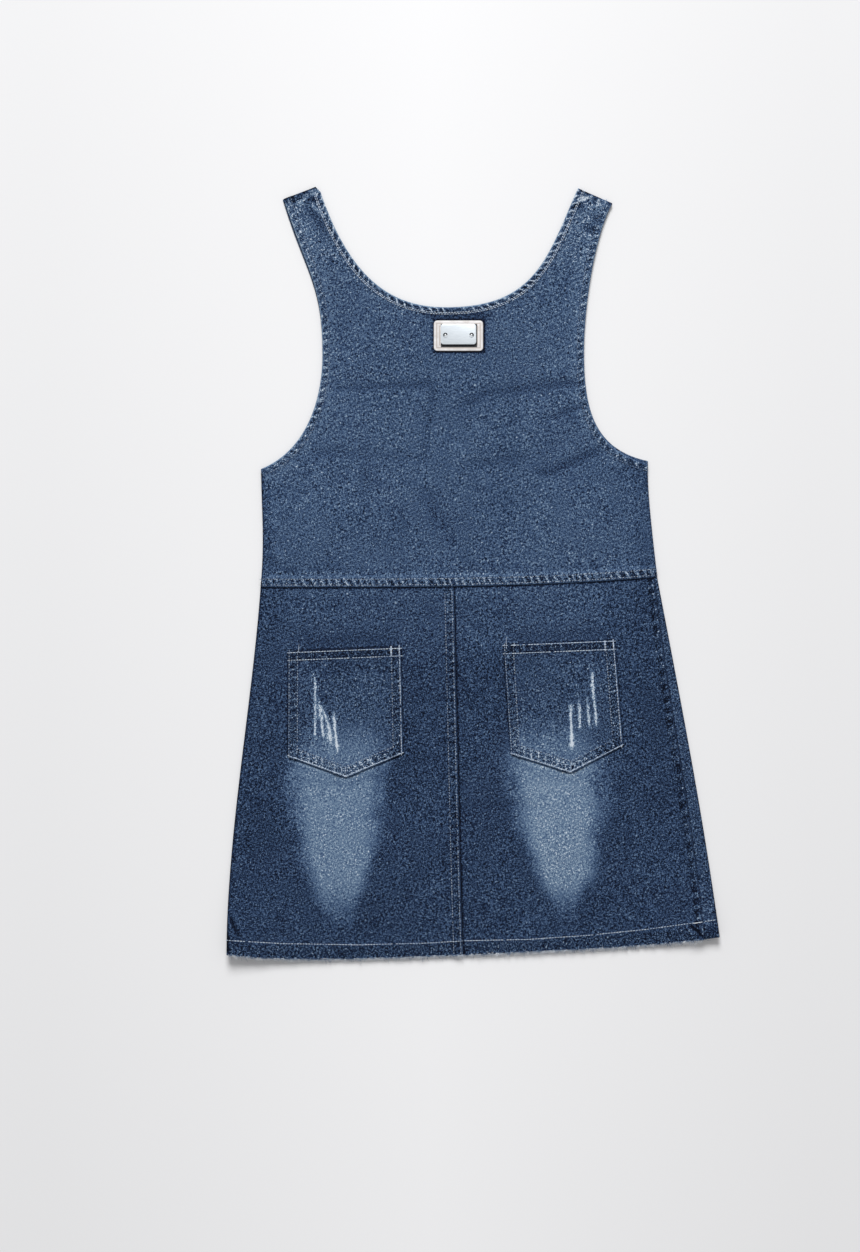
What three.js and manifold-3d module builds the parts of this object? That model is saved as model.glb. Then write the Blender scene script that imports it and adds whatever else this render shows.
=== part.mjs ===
// A denim pinafore dress laid flat on its front, seen from its back: two wide straps, a waist seam,
// a skirt with a centre back seam and two pointed patch pockets, and a leather patch with a small plate.
// Millimetres. +Z is up, +Y runs from the hem to the straps, +X to the right as seen from above.
// The origin is the middle of the part's outline, on the surface that the dress lies on.

import * as THREE from 'three';
import { mergeVertices } from 'three/addons/utils/BufferGeometryUtils.js';
import Module from 'manifold-3d';

const wasm = await Module();
wasm.setup();

// Driving dimensions
const WALL = 1.3;
const SEAM_GAP = 0.3;
const LAYER_RISE = WALL + SEAM_GAP;
const FOLD_RADIUS = WALL + SEAM_GAP / 2;
const CELL = 30;
const GRID_COLUMNS = 20;
const GRID_ROWS = 30;
const OUTLINE_STEP = 12;
const BACK_TOP = LAYER_RISE + WALL;
const PATCH = { width: 54.4, length: 33.6, corner: 4, thickness: 1.6 };
const PLATE = { width: 39, length: 22.8, corner: 3, thickness: 1.1 };
const PLATE_BEVEL = 0.25;
const PLATE_BASE = BACK_TOP + PATCH.thickness + 2 * SEAM_GAP;
const RIVET = { radius: 2.6, height: 1.1, spacing: 28.8, drop: 1, sides: 16 };

// Reach of the shapes that cut the plies
const CUT_DEPTH = 80;
const REACH_PAST_ENDS = 60;
const FAR_SIDE = 1200;

const point = (x, y) => new THREE.Vector2(x, y);
const cubic = (...controls) => new THREE.CubicBezierCurve(...controls);

// Landmarks of the outline
const strapLeftOuter = point(-207.3, 411.7);
const strapLeftTop = point(-172.4, 425);
const strapLeftInner = point(-166.9, 419.4);
const strapRightInner = point(116.3, 423.4);
const strapRightOuter = point(154.1, 406.8);
const neckLow = point(-28.9, 292.6);
const frontNeckLow = point(-28.9, 236);
const armLeftMiddle = point(-164.9, 243.4);
const armRightMiddle = point(122.9, 241.2);
const underarmLeft = point(-232.4, 114.7);
const underarmRight = point(193.3, 120.5);
const frontUnderarmRight = point(193.3, 123.5);
const waistLeft = point(-232.9, -15.4);
const waistRight = point(203.4, -4.1);
const foldTop = point(waistRight.x - FOLD_RADIUS, waistRight.y);
const foldBottom = point(270.4, -400.1);
const hemCentre = point(-10.2, -420.6);
const hemLeft = point(-269.8, -419.1);
const labelCentre = point(-15.2, 261.2);
const plateCentre = point(-15.2, 262.8);

// Edges of the outline in the order of travel, each with the cloth on its left
const hem = path(
  cubic(hemLeft, point(-209.5, -430.6), point(-70, -422.9), hemCentre),
  cubic(hemCentre, point(108.1, -415.3), point(211.4, -411.2), foldBottom),
);
const fold = path(cubic(foldBottom, point(255, -278.7), point(228.6, -143.3), foldTop));
const waistStep = path(new THREE.LineCurve(foldTop, waistRight));
const sideRight = path(cubic(waistRight, point(198.7, 40.1), point(191.9, 91), underarmRight));
const frontSideRight = path(cubic(waistRight, point(198.7, 40.1), point(191.9, 91), frontUnderarmRight));
const armholeRight = path(
  cubic(underarmRight, point(139.7, 133), point(armRightMiddle.x, 171.9), armRightMiddle),
  cubic(armRightMiddle, point(armRightMiddle.x, 293.8), point(134.5, 371.2), strapRightOuter),
);
const frontArmholeRight = path(
  cubic(frontUnderarmRight, point(139.7, 135.1), point(armRightMiddle.x, 171.9), armRightMiddle),
  cubic(armRightMiddle, point(armRightMiddle.x, 293.8), point(134.5, 371.2), strapRightOuter),
);
const strapTopRight = path(new THREE.LineCurve(strapRightOuter, strapRightInner));
const neck = path(
  cubic(strapRightInner, point(82.4, 349), point(71.7, neckLow.y), neckLow),
  cubic(neckLow, point(-80.2, neckLow.y), point(-131.1, 313.7), strapLeftInner),
);
const frontNeck = path(
  cubic(strapRightInner, point(88, 346), point(66, frontNeckLow.y), frontNeckLow),
  cubic(frontNeckLow, point(-118, frontNeckLow.y), point(-139, 336), strapLeftInner),
);
const strapCorner = path(new THREE.LineCurve(strapLeftInner, strapLeftTop));
const strapTopLeft = path(new THREE.LineCurve(strapLeftTop, strapLeftOuter));
const armholeLeft = path(
  cubic(strapLeftOuter, point(-182.1, 331.5), point(armLeftMiddle.x, 319.2), armLeftMiddle),
  cubic(armLeftMiddle, point(armLeftMiddle.x, 239.4), point(-160.7, 144), underarmLeft),
);
const sideLeft = path(
  cubic(underarmLeft, point(-231.6, 63), point(-228.2, 38.7), waistLeft),
  cubic(waistLeft, point(-242.3, -145.9), point(-270.9, -291.9), hemLeft),
);
const lowerEdges = [hem, fold, waistStep];
const leftEdges = [strapCorner, strapTopLeft, armholeLeft, sideLeft];
const backOutline = outline(...lowerEdges, sideRight, armholeRight, strapTopRight, neck, ...leftEdges);
const frontOutline = outline(
  ...lowerEdges, frontSideRight, frontArmholeRight, strapTopRight, frontNeck, ...leftEdges,
);

// Seams across the outline, each with its upper ply on the left
const waistSeam = path(cubic(waistLeft, point(-127.9, -15.4), point(62.8, -17.2), waistRight));
const centreSeam = path(cubic(hemCentre, point(-14.7, -287.6), point(-17, -146.7), point(-20.3, -16.2)));
const sideSeam = path(cubic(point(254.9, -400.6), point(243.3, -266.6), point(213.8, -139.6), point(200.1, -4.1)));

// Bands where the cloth is turned in or lapped, and so is thicker. Waves are the puckers along the thread
const BANDS = {
  neck: { curve: neck, width: 8, height: 1.1, waves: 42 },
  armholeLeft: { curve: armholeLeft, width: 9, height: 1, waves: 34 },
  armholeRight: { curve: armholeRight, width: 9, height: 1, waves: 32 },
  shoulderLeft: { curve: strapTopLeft, width: 12, height: 0.7, waves: 0 },
  shoulderRight: { curve: strapTopRight, width: 12, height: 0.7, waves: 0 },
  waist: { curve: waistSeam, width: 11.5, height: 1.3, waves: 46 },
  centre: { curve: centreSeam, width: 10.5, height: 1.2, waves: 42 },
  side: { curve: sideSeam, width: 7, height: 1.1, waves: 0 },
  hem: { curve: hem, width: 18, height: 0.6, waves: 0 },
};

// Shape across a band, from just past the edge inwards: shares of the band's width and height
const BAND_PROFILE = [
  { share: -0.1, height: 0.5 },
  { share: 0.3, height: 1 },
  { share: 0.75, height: 0.75 },
  { share: 1.1, height: -0.5 },
];
const PUCKER_SHARE = 0.3;
const PUCKER_SLANT = 3.5;
const BAND_ROOT = 0.9;
const PLAIN_BAND_STEP = 24;
const BAND_OVERRUN = 14;

// Shape across the rolled side, in shares of the fold's radius, from the outermost line inwards
const FOLD_PROFILE = [
  { share: -1, halfHeight: 0.3 },
  { share: -0.85, halfHeight: 0.53 },
  { share: -0.5, halfHeight: 0.87 },
  { share: 0, halfHeight: 0.97 },
  { share: 0.6, halfHeight: 0.97 },
];
const FOLD_STEPS = 18;

// Corners of the hem that curl up off the surface
const CURLS = [
  { x: hemLeft.x, y: hemLeft.y, reach: 130, height: 9 },
  { x: foldBottom.x, y: foldBottom.y, reach: 95, height: 6 },
];

// Broad soft humps of the back, where its cloth stands off the front
const HUMPS = [
  { x: -34, y: 105, reachX: 60, reachY: 125, height: 1.8 },
  { x: -180, y: 45, reachX: 50, reachY: 65, height: 1.2 },
  { x: 130, y: 75, reachX: 60, reachY: 80, height: 1.4 },
  { x: -125, y: -310, reachX: 90, reachY: 95, height: 2.2 },
  { x: 95, y: -290, reachX: 85, reachY: 95, height: 2.2 },
];

// Narrow creases pressed into the back
const CREASES = [
  { x1: -150, y1: 208, x2: 34, y2: 212, width: 14, height: 0.7 },
  { x1: -216, y1: 28, x2: -204, y2: 0, width: 8, height: 0.8 },
  { x1: -182, y1: 400, x2: -170, y2: 390, width: 7, height: 0.7 },
  { x1: -258, y1: -374, x2: -251, y2: -400, width: 9, height: 1 },
  { x1: 232, y1: -402, x2: 258, y2: -386, width: 9, height: 1 },
];

// Patch pockets, as they lie on the skirt
const POCKETS = [
  {
    name: 'pocket_left',
    lowerLeft: point(-202.6, -202.3),
    tip: point(-139.1, -225),
    lowerRight: point(-76, -199.1),
    upperRight: point(-78.5, -80.2),
    upperLeft: point(-202.2, -85.2),
  },
  {
    name: 'pocket_right',
    lowerLeft: point(42.5, -199.8),
    tip: point(108, -220),
    lowerRight: point(166, -190.3),
    upperRight: point(156.6, -74.4),
    upperLeft: point(34.4, -79.4),
  },
];
const POCKET_HEM = { width: 13, height: 0.6, waves: 0 };
const POCKET_EDGE = { width: 8, height: 0.5, waves: 0 };

// Finishes
const denim = { color: 0x3f5372, roughness: 0.92, metalness: 0 };
const wornDenim = { color: 0x4b6080, roughness: 0.92, metalness: 0 };
const leather = { color: 0xd1d0d2, roughness: 0.7, metalness: 0 };
const brushedMetal = { color: 0xd4dde5, roughness: 0.4, metalness: 0.8 };

// Curves
function path(...curves) {
  const joined = new THREE.CurvePath();
  curves.forEach((curve) => joined.add(curve));
  return joined;
}

// The spot at a distance along a curve, run on straight past its ends, and the way into the cloth there
function place(curve, distance) {
  const length = curve.getLength();
  const inside = THREE.MathUtils.clamp(distance, 0, length);
  const ahead = curve.getPoint(Math.min(1, inside / length + 0.01));
  const behind = curve.getPoint(Math.max(0, inside / length - 0.01));
  const along = ahead.sub(behind).normalize();
  const spot = curve.getPoint(inside / length).addScaledVector(along, distance - inside);
  return { spot, inward: point(-along.y, along.x) };
}

function trace(curve) {
  const steps = Math.ceil(curve.getLength() / OUTLINE_STEP);
  return Array.from({ length: steps }, (_, step) => curve.getPoint((step + 1) / steps));
}

function outline(...curves) {
  return curves.flatMap(trace);
}

// Heights
function curl(x, y) {
  return CURLS.reduce((sum, corner) => {
    const away = Math.hypot(x - corner.x, y - corner.y) / corner.reach;
    return sum + corner.height * Math.max(0, 1 - away) ** 2;
  }, 0);
}

function rise(x, y) {
  return HUMPS.reduce((sum, hump) => {
    const away = Math.min(1, Math.hypot((x - hump.x) / hump.reachX, (y - hump.y) / hump.reachY));
    return sum + hump.height * Math.cos((away * Math.PI) / 2) ** 2;
  }, curl(x, y));
}

// Solids
function toSolid(geometry) {
  const bare = new THREE.BufferGeometry();
  bare.setAttribute('position', geometry.getAttribute('position'));
  bare.setIndex(geometry.getIndex());
  const merged = mergeVertices(bare, 1e-4);
  return new wasm.Manifold(new wasm.Mesh({
    numProp: 3,
    vertProperties: new Float32Array(merged.getAttribute('position').array),
    triVerts: new Uint32Array(merged.getIndex().array),
  }));
}

// A closed slab between an upper and a lower surface; columns run to the left of rows, seen from above
function slab(rows, columns, upper, lower) {
  const positions = [];
  for (const surface of [lower, upper]) {
    for (let row = 0; row <= rows; row += 1) {
      for (let column = 0; column <= columns; column += 1) {
        positions.push(...surface(row, column).toArray());
      }
    }
  }
  const low = (row, column) => row * (columns + 1) + column;
  const high = (row, column) => low(row, column) + (rows + 1) * (columns + 1);
  const index = [];
  const quad = (a, b, c, d) => index.push(a, b, c, a, c, d);
  for (let row = 0; row < rows; row += 1) {
    for (let column = 0; column < columns; column += 1) {
      quad(high(row, column), high(row + 1, column), high(row + 1, column + 1), high(row, column + 1));
      quad(low(row, column), low(row, column + 1), low(row + 1, column + 1), low(row + 1, column));
    }
    quad(low(row, 0), low(row + 1, 0), high(row + 1, 0), high(row, 0));
    quad(low(row + 1, columns), low(row, columns), high(row, columns), high(row + 1, columns));
  }
  for (let column = 0; column < columns; column += 1) {
    quad(low(0, column + 1), low(0, column), high(0, column), high(0, column + 1));
    quad(low(rows, column), low(rows, column + 1), high(rows, column + 1), high(rows, column));
  }
  const geometry = new THREE.BufferGeometry();
  geometry.setAttribute('position', new THREE.Float32BufferAttribute(positions, 3));
  geometry.setIndex(index);
  return toSolid(geometry);
}

// A ply of cloth over the whole dress, all plies on one grid so that they stay parallel
function ply(form, base, thickness) {
  const surface = (height) => (row, column) => {
    const x = (row - GRID_COLUMNS / 2) * CELL;
    const y = (column - GRID_ROWS / 2) * CELL;
    return new THREE.Vector3(x, y, form(x, y) + height);
  };
  return slab(GRID_COLUMNS, GRID_ROWS, surface(base + thickness), surface(base));
}

// A raised band along the edge of a ply whose upper face is at the height given
function band({ curve, width, height, waves }, top) {
  const length = curve.getLength();
  const steps = waves > 0 ? 2 * waves : Math.ceil(length / PLAIN_BAND_STEP);
  const rows = steps + 2;
  const columns = BAND_PROFILE.length - 1;
  const distance = (row) => {
    if (row === 0) return -BAND_OVERRUN;
    if (row === rows) return length + BAND_OVERRUN;
    return ((row - 1) * length) / steps;
  };
  const spotAt = (row, column) => {
    const { share } = BAND_PROFILE[column];
    const slant = waves > 0 ? PUCKER_SLANT * share : 0;
    const { spot, inward } = place(curve, distance(row) + slant);
    return spot.addScaledVector(inward, width * share);
  };
  const upper = (row, column) => {
    const spot = spotAt(row, column);
    const lift = height * BAND_PROFILE[column].height;
    const pucker = waves > 0 && lift > 0 ? PUCKER_SHARE * (-1) ** row : 0;
    return new THREE.Vector3(spot.x, spot.y, rise(spot.x, spot.y) + top + lift * (1 + pucker));
  };
  const lower = (row, column) => {
    const spot = spotAt(row, column);
    return new THREE.Vector3(spot.x, spot.y, rise(spot.x, spot.y) + top - BAND_ROOT);
  };
  return slab(rows, columns, upper, lower);
}

function crease({ x1, y1, x2, y2, width, height }) {
  const line = path(new THREE.LineCurve(point(x1, y1), point(x2, y2)));
  const length = line.getLength();
  const shares = [-0.5, 0, 0.5];
  const ends = [0, 0.25, 0.75, 1];
  const heights = [0, 1, 1, 0];
  const spotAt = (row, column) => {
    const { spot, inward } = place(line, ends[row] * length);
    return spot.addScaledVector(inward, width * shares[column]);
  };
  const surface = (lift) => (row, column) => {
    const spot = spotAt(row, column);
    const ridge = shares[column] === 0 ? heights[row] * lift : 0;
    return new THREE.Vector3(spot.x, spot.y, rise(spot.x, spot.y) + BACK_TOP - 0.25 + ridge);
  };
  const lower = (row, column) => surface(0)(row, column).setZ(surface(0)(row, column).z - 0.5);
  return slab(ends.length - 1, shares.length - 1, surface(height + 0.25), lower);
}

function prism(points) {
  const shape = new THREE.Shape(points);
  const geometry = new THREE.ExtrudeGeometry(shape, { depth: CUT_DEPTH, bevelEnabled: false, steps: 1 });
  return toSolid(geometry.translate(0, 0, -CUT_DEPTH / 4));
}

// Everything on one side of a seam, which is given as points with that side on its left
function beside(points, gap) {
  const first = points[0];
  const last = points[points.length - 1];
  const along = last.clone().sub(first).normalize();
  const inward = point(-along.y, along.x);
  const start = first.clone().addScaledVector(along, -REACH_PAST_ENDS);
  const end = last.clone().addScaledVector(along, REACH_PAST_ENDS);
  const seam = [start, ...points, end].map((spot) => spot.clone().addScaledVector(inward, gap));
  const far = [end, start].map((spot) => spot.clone().addScaledVector(inward, FAR_SIDE));
  return prism([...seam, ...far]);
}

function upperSide(seam) {
  return beside([seam.getPoint(0), ...trace(seam)], 0);
}

function underSide(seam) {
  return beside([seam.getPoint(0), ...trace(seam)].reverse(), SEAM_GAP);
}

function join(...solids) {
  return solids.reduce((whole, solid) => whole.add(solid));
}

function cut(solid, ...regions) {
  return regions.reduce((rest, region) => rest.intersect(region), solid);
}

function toMesh(name, solid, finish) {
  const { vertProperties, triVerts } = solid.getMesh();
  const geometry = new THREE.BufferGeometry();
  geometry.setAttribute('position', new THREE.Float32BufferAttribute(vertProperties, 3));
  geometry.setIndex(new THREE.BufferAttribute(triVerts, 1));
  geometry.computeVertexNormals();
  return named(name, geometry, finish);
}

function named(name, geometry, finish) {
  const mesh = new THREE.Mesh(geometry, new THREE.MeshStandardMaterial(finish));
  mesh.name = name;
  return mesh;
}

// The back: its ply carries the creases, and each panel is cut from it with its own bands
const backSheet = join(ply(rise, LAYER_RISE, WALL), ...CREASES.map(crease));

function backPanel(bands, ...regions) {
  const raised = bands.map((name) => band(BANDS[name], BACK_TOP));
  return cut(join(backSheet, ...raised), prism(backOutline), ...regions);
}

function backBodice() {
  const bands = ['neck', 'armholeLeft', 'armholeRight', 'shoulderLeft', 'shoulderRight', 'waist'];
  return backPanel(bands, upperSide(waistSeam));
}

function backSkirtLeft() {
  return backPanel(['centre', 'hem'], underSide(waistSeam), upperSide(centreSeam));
}

function backSkirtRight() {
  const regions = [underSide(waistSeam), underSide(centreSeam), upperSide(sideSeam)];
  return backPanel(['side', 'hem'], ...regions);
}

// The front lies underneath, flat where it rests, and its skirt rolls over the right side to the side seam
const frontSheet = cut(ply(curl, 0, WALL), prism(frontOutline));

function frontBodice() {
  return cut(frontSheet, upperSide(waistSeam));
}

function rolledSide() {
  const length = fold.getLength();
  const columns = FOLD_PROFILE.length - 1;
  const surface = (direction) => (row, column) => {
    const { share, halfHeight } = FOLD_PROFILE[column];
    const overrun = row === FOLD_STEPS ? BAND_OVERRUN : 0;
    const { spot, inward } = place(fold, (row * length) / FOLD_STEPS + overrun);
    spot.addScaledVector(inward, share * FOLD_RADIUS);
    const height = FOLD_RADIUS * (1 + direction * halfHeight);
    return new THREE.Vector3(spot.x, spot.y, curl(spot.x, spot.y) + height);
  };
  return slab(FOLD_STEPS, columns, surface(1), surface(-1));
}

function frontSkirt() {
  const strip = cut(
    join(backSheet, band(BANDS.hem, BACK_TOP)), prism(backOutline), underSide(sideSeam),
  );
  return cut(join(frontSheet, rolledSide(), strip), underSide(waistSeam));
}

// Patch pockets, each the shape of the skirt under it, raised by a ply
function pocket(corners) {
  const { lowerLeft, tip, lowerRight, upperRight, upperLeft } = corners;
  const turns = [lowerLeft, tip, lowerRight, upperRight, upperLeft, lowerLeft];
  const edge = (from, to, sizes) => (
    band({ ...sizes, curve: path(new THREE.LineCurve(from, to)) }, BACK_TOP + LAYER_RISE)
  );
  const edges = turns.slice(1).map((corner, turn) => (
    edge(turns[turn], corner, corner === upperLeft ? POCKET_HEM : POCKET_EDGE)
  ));
  const cloth = ply(rise, BACK_TOP + SEAM_GAP, WALL);
  return cut(join(cloth, ...edges), prism(turns.slice(1)));
}

// Leather patch, plate and rivets
function roundedRectangle({ width, length, corner }, centre) {
  const right = width / 2 - corner;
  const top = length / 2 - corner;
  const shape = new THREE.Shape();
  shape.absarc(right, top, corner, 0, Math.PI / 2);
  shape.absarc(-right, top, corner, Math.PI / 2, Math.PI);
  shape.absarc(-right, -top, corner, Math.PI, 1.5 * Math.PI);
  shape.absarc(right, -top, corner, 1.5 * Math.PI, 2 * Math.PI);
  return shape.getPoints(3).map((spot) => spot.add(centre));
}

function leatherPatch() {
  return cut(ply(rise, BACK_TOP + SEAM_GAP, PATCH.thickness), prism(roundedRectangle(PATCH, labelCentre)));
}

function plate() {
  const shape = new THREE.Shape(roundedRectangle(PLATE, plateCentre));
  const geometry = new THREE.ExtrudeGeometry(shape, {
    depth: PLATE.thickness - 2 * PLATE_BEVEL,
    bevelSize: PLATE_BEVEL,
    bevelThickness: PLATE_BEVEL,
    bevelOffset: -PLATE_BEVEL,
    bevelSegments: 1,
  });
  return geometry.translate(0, 0, PLATE_BASE + PLATE_BEVEL);
}

function rivet(side) {
  const rounds = [0, 1, 2, 3].map((step) => {
    const angle = (step / 3) * (Math.PI / 2);
    return point(RIVET.radius * Math.cos(angle), RIVET.height * (0.35 + 0.65 * Math.sin(angle)));
  });
  const profile = [point(0, 0), point(RIVET.radius, 0), ...rounds];
  profile[profile.length - 1].x = 0;
  const geometry = new THREE.LatheGeometry(profile, RIVET.sides).rotateX(Math.PI / 2);
  const base = PLATE_BASE + PLATE.thickness + SEAM_GAP;
  const across = (side * RIVET.spacing) / 2;
  return geometry.translate(plateCentre.x + across, plateCentre.y - RIVET.drop, base);
}

const dress = new THREE.Group();
dress.add(toMesh('front_bodice', frontBodice(), denim));
dress.add(toMesh('front_skirt', frontSkirt(), denim));
dress.add(toMesh('back_bodice', backBodice(), wornDenim));
dress.add(toMesh('back_skirt_left', backSkirtLeft(), denim));
dress.add(toMesh('back_skirt_right', backSkirtRight(), denim));
POCKETS.forEach((corners) => dress.add(toMesh(corners.name, pocket(corners), wornDenim)));
dress.add(toMesh('label_patch', leatherPatch(), leather));
dress.add(named('label_plate', plate(), brushedMetal));
dress.add(named('label_rivet_left', rivet(-1), brushedMetal));
dress.add(named('label_rivet_right', rivet(1), brushedMetal));

export default dress;
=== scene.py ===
"""The looks of a denim pinafore dress that lies flat on its front, seen from straight above."""
import math

import bpy
import numpy as np
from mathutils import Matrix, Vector, noise
from mathutils.geometry import delaunay_2d_cdt, interpolate_bezier


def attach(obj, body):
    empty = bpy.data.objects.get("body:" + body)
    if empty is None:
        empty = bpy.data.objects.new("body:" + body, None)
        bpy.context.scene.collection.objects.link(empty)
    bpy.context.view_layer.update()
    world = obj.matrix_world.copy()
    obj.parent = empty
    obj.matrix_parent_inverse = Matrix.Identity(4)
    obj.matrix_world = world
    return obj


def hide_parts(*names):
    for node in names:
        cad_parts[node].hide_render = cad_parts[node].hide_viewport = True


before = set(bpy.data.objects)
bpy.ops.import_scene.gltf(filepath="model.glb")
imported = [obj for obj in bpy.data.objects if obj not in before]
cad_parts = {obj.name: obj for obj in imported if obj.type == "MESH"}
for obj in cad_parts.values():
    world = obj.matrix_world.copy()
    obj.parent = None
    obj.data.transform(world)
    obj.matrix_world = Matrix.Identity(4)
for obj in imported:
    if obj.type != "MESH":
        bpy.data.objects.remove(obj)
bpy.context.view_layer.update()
bpy.ops.object.select_all(action="DESELECT")


# The surface that the dress lies on, and the studio round it.
# A pale matt floor, one large soft light far beyond the straps and a little to the left, and a camera
# that looks straight down. All shapes below are worked out in millimetres and made in metres.
MM = 0.001
PHOTO_STEP = 1.1 * MM
PHOTO_HEIGHT = 1252
VIEW_X = -0.0465
VIEW_Y = -0.058
LENS = 85
SENSOR = 36


def linear(red, green, blue):
    """A colour given from 0 to 255 as seen on a screen, as the light that it gives off."""
    shares = [value / 255 for value in (red, green, blue)]
    return [s / 12.92 if s <= 0.04045 else ((s + 0.055) / 1.055) ** 2.4 for s in shares] + [1]


def finish(name, roughness):
    material = bpy.data.materials.new(name)
    material.use_nodes = True
    shader = material.node_tree.nodes["Principled BSDF"]
    shader.inputs["Roughness"].default_value = roughness
    return material, material.node_tree, shader


def add_node(tree, kind, inputs=None, **settings):
    """Adds a shader node; inputs maps a socket's name to its value or to the socket that feeds it."""
    node = tree.nodes.new(kind)
    for key, value in settings.items():
        setattr(node, key, value)
    for key, value in (inputs or {}).items():
        if isinstance(value, bpy.types.NodeSocket):
            tree.links.new(value, node.inputs[key])
        else:
            node.inputs[key].default_value = value
    return node


def sum_of(tree, operation, *values):
    """A shader sum of two or three values or sockets."""
    node = add_node(tree, "ShaderNodeMath", dict(enumerate(values)), operation=operation)
    return node.outputs[0]


def blend(tree, share, stops):
    """A colour that runs through stops, given as (place, (red, green, blue)), as the share grows."""
    node = add_node(tree, "ShaderNodeValToRGB", {"Fac": share})
    ramp = node.color_ramp
    while len(ramp.elements) < len(stops):
        ramp.elements.new(0.5)
    for element, (at, colour) in zip(ramp.elements, stops):
        element.position = at
        element.color = linear(*colour)
    return node.outputs["Color"]


def point_at(thing, target):
    away = thing.location - Vector(target)
    thing.rotation_euler = away.to_track_quat("Z", "Y").to_euler()


bpy.ops.object.camera_add(location=(VIEW_X, VIEW_Y, PHOTO_HEIGHT * PHOTO_STEP * LENS / SENSOR + 0.003))
camera = bpy.context.object
camera.data.lens = LENS
camera.data.sensor_width = SENSOR
camera.data.clip_end = 50
bpy.context.scene.camera = camera
bpy.context.scene.view_settings.view_transform = "Standard"

bpy.ops.mesh.primitive_plane_add(size=12)
floor = bpy.context.object
floor.name = "floor"
floor_paint, floor_tree, floor_shader = finish("pale floor", 0.7)
floor_place = add_node(floor_tree, "ShaderNodeTexCoord").outputs["Object"]
floor_across = add_node(floor_tree, "ShaderNodeSeparateXYZ", {0: floor_place}).outputs["X"]
# painted light: the floor is painted brighter down the middle of the view and darker towards the sides
floor_far = sum_of(floor_tree, "ABSOLUTE", sum_of(floor_tree, "SUBTRACT", floor_across, VIEW_X))
floor_colour = blend(floor_tree, floor_far, ((0.0, (241, 241, 242)), (0.42, (232, 232, 233))))
floor_tree.links.new(floor_colour, floor_shader.inputs["Base Color"])
floor.data.materials.append(floor_paint)

bpy.ops.object.light_add(type="AREA", location=(-0.7, 7.6, 6.2))
lamp = bpy.context.object
lamp.name = "key light"
lamp.data.size = 4.4
lamp.data.energy = 1010
point_at(lamp, (-0.05, 0.1, 0))
world = bpy.data.worlds.new("studio")
bpy.context.scene.world = world
world.use_nodes = True
world.node_tree.nodes["Background"].inputs["Color"].default_value = (0.99, 0.99, 1.0, 1)
world.node_tree.nodes["Background"].inputs["Strength"].default_value = 0.4


# Back bodice, with its two straps.
# One panel of washed indigo twill, turned in along the neck, the armholes and the shoulder ends and
# sewn there with grey-blue thread; its lower edge laps over the skirt in a twin-needle seam that ropes.
CLOTH = 1.1
FRONT_LOW = 0.05
BACK_TOP = 3.0
CURLS = (
    # x, y, reach, height: corners of the hem that curl up off the surface
    (-269.8, -419.1, 130, 9),
    (270.4, -400.1, 95, 6),
)
HUMPS = (
    # x, y, reach across, reach along, height: where the back stands a little off the front
    (-34, 105, 60, 125, 1.8),
    (-180, 45, 50, 65, 1.2),
    (130, 75, 60, 80, 1.4),
    (-125, -310, 90, 95, 2.2),
    (95, -290, 85, 95, 2.2),
)
CREASES = (
    # points of the crease, half width, lift and change of tone; below nought it is a trough, darker with
    # painted shade, and above nought a ridge, paler with painted highlight
    (((-152, 203), (-100, 206), (-43, 209)), 3.5, -0.9, -0.102),
    (((-43, 208), (-48, 168), (-53, 124)), 4.5, -0.8, -0.087),
    (((-180, 134), (-118, 131), (-47, 124)), 5, -0.6, -0.058),
    (((-13, 183), (16, 199), (79, 206), (121, 210)), 5, -1.2, -0.116),
    (((83, 170), (104, 178), (126, 186)), 3.5, -1.0, -0.131),
    (((-9, 120), (20, 120), (46, 128), (62, 126)), 5, -0.9, -0.072),
    (((68, 112), (90, 113), (105, 120), (142, 138)), 5, -1.4, -0.145),
    (((-118, 126), (-114, 86)), 7, -0.8, -0.072),
    (((-51, 95), (-38, 60), (-17, 27)), 8, -0.8, -0.072),
    (((-82, 70), (-68, 35)), 6, -0.5, -0.043),
    (((165, 124), (186, 112)), 9, -0.3, -0.116),
    (((-228, 16), (-212, 8), (-196, 3)), 4, -0.9, -0.08),
    (((-215, 26), (-205, -3)), 3, 0.9, 0.058),
    (((-184, 406), (-172, 393), (-162, 375)), 5.5, -1.2, -0.24),
    (((-164, 380), (-154, 358)), 7, -0.5, -0.1),
    (((-176, 405), (-163, 391)), 1.8, 0.8, 0.3),
    (((-192, 396), (-184, 388)), 4, -0.5, -0.2),
    (((114, 410), (122, 401)), 5, -0.8, -0.5),
    (((131, 392), (144, 388)), 4, -0.8, -0.36),
    (((124, 383), (138, 373)), 4.5, -0.8, -0.34),
    (((-55, -23), (-38, -57)), 6, -0.6, -0.04),
    (((92, -60), (140, -38)), 9, 0.6, 0.02),
    (((-225, -60), (-190, -66), (-130, -78)), 9, -0.6, -0.02),
    (((-190, -76), (-84, -71)), 6, -0.6, -0.07),
    (((42, -70), (150, -66)), 6, -0.5, -0.06),
    (((-156, -103), (-120, -108), (-89, -106)), 6, -0.5, -0.05),
    (((-90, -212), (-42, -203)), 5, -0.8, -0.06),
    (((-21, -259), (28, -254), (79, -259)), 5, -0.5, -0.04),
    (((-240, -240), (-225, -330)), 12, -0.6, -0.02),
    (((40, -250), (52, -330)), 12, -0.5, -0.02),
    (((188, -120), (210, -210)), 11, -0.5, -0.02),
    (((-266, -377), (-262, -388), (-255, -400)), 1.7, -1.0, -0.36),
    (((-262, -374), (-252, -392)), 1.6, 0.4, 0.12),
    (((-268.6, -396), (-268, -416)), 1.8, -0.5, -0.45),
    (((239.5, -386.6), (254.6, -400.3)), 1.5, -0.9, -0.55),
    (((252.6, -387), (253.6, -399)), 1.0, 0.3, 0.3),
)
LABEL_X = -15.2
LABEL_Y = 261.2
PATCH_WIDTH = 54.4
PATCH_LENGTH = 33.6
UNDER_LABEL = 0.15


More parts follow.
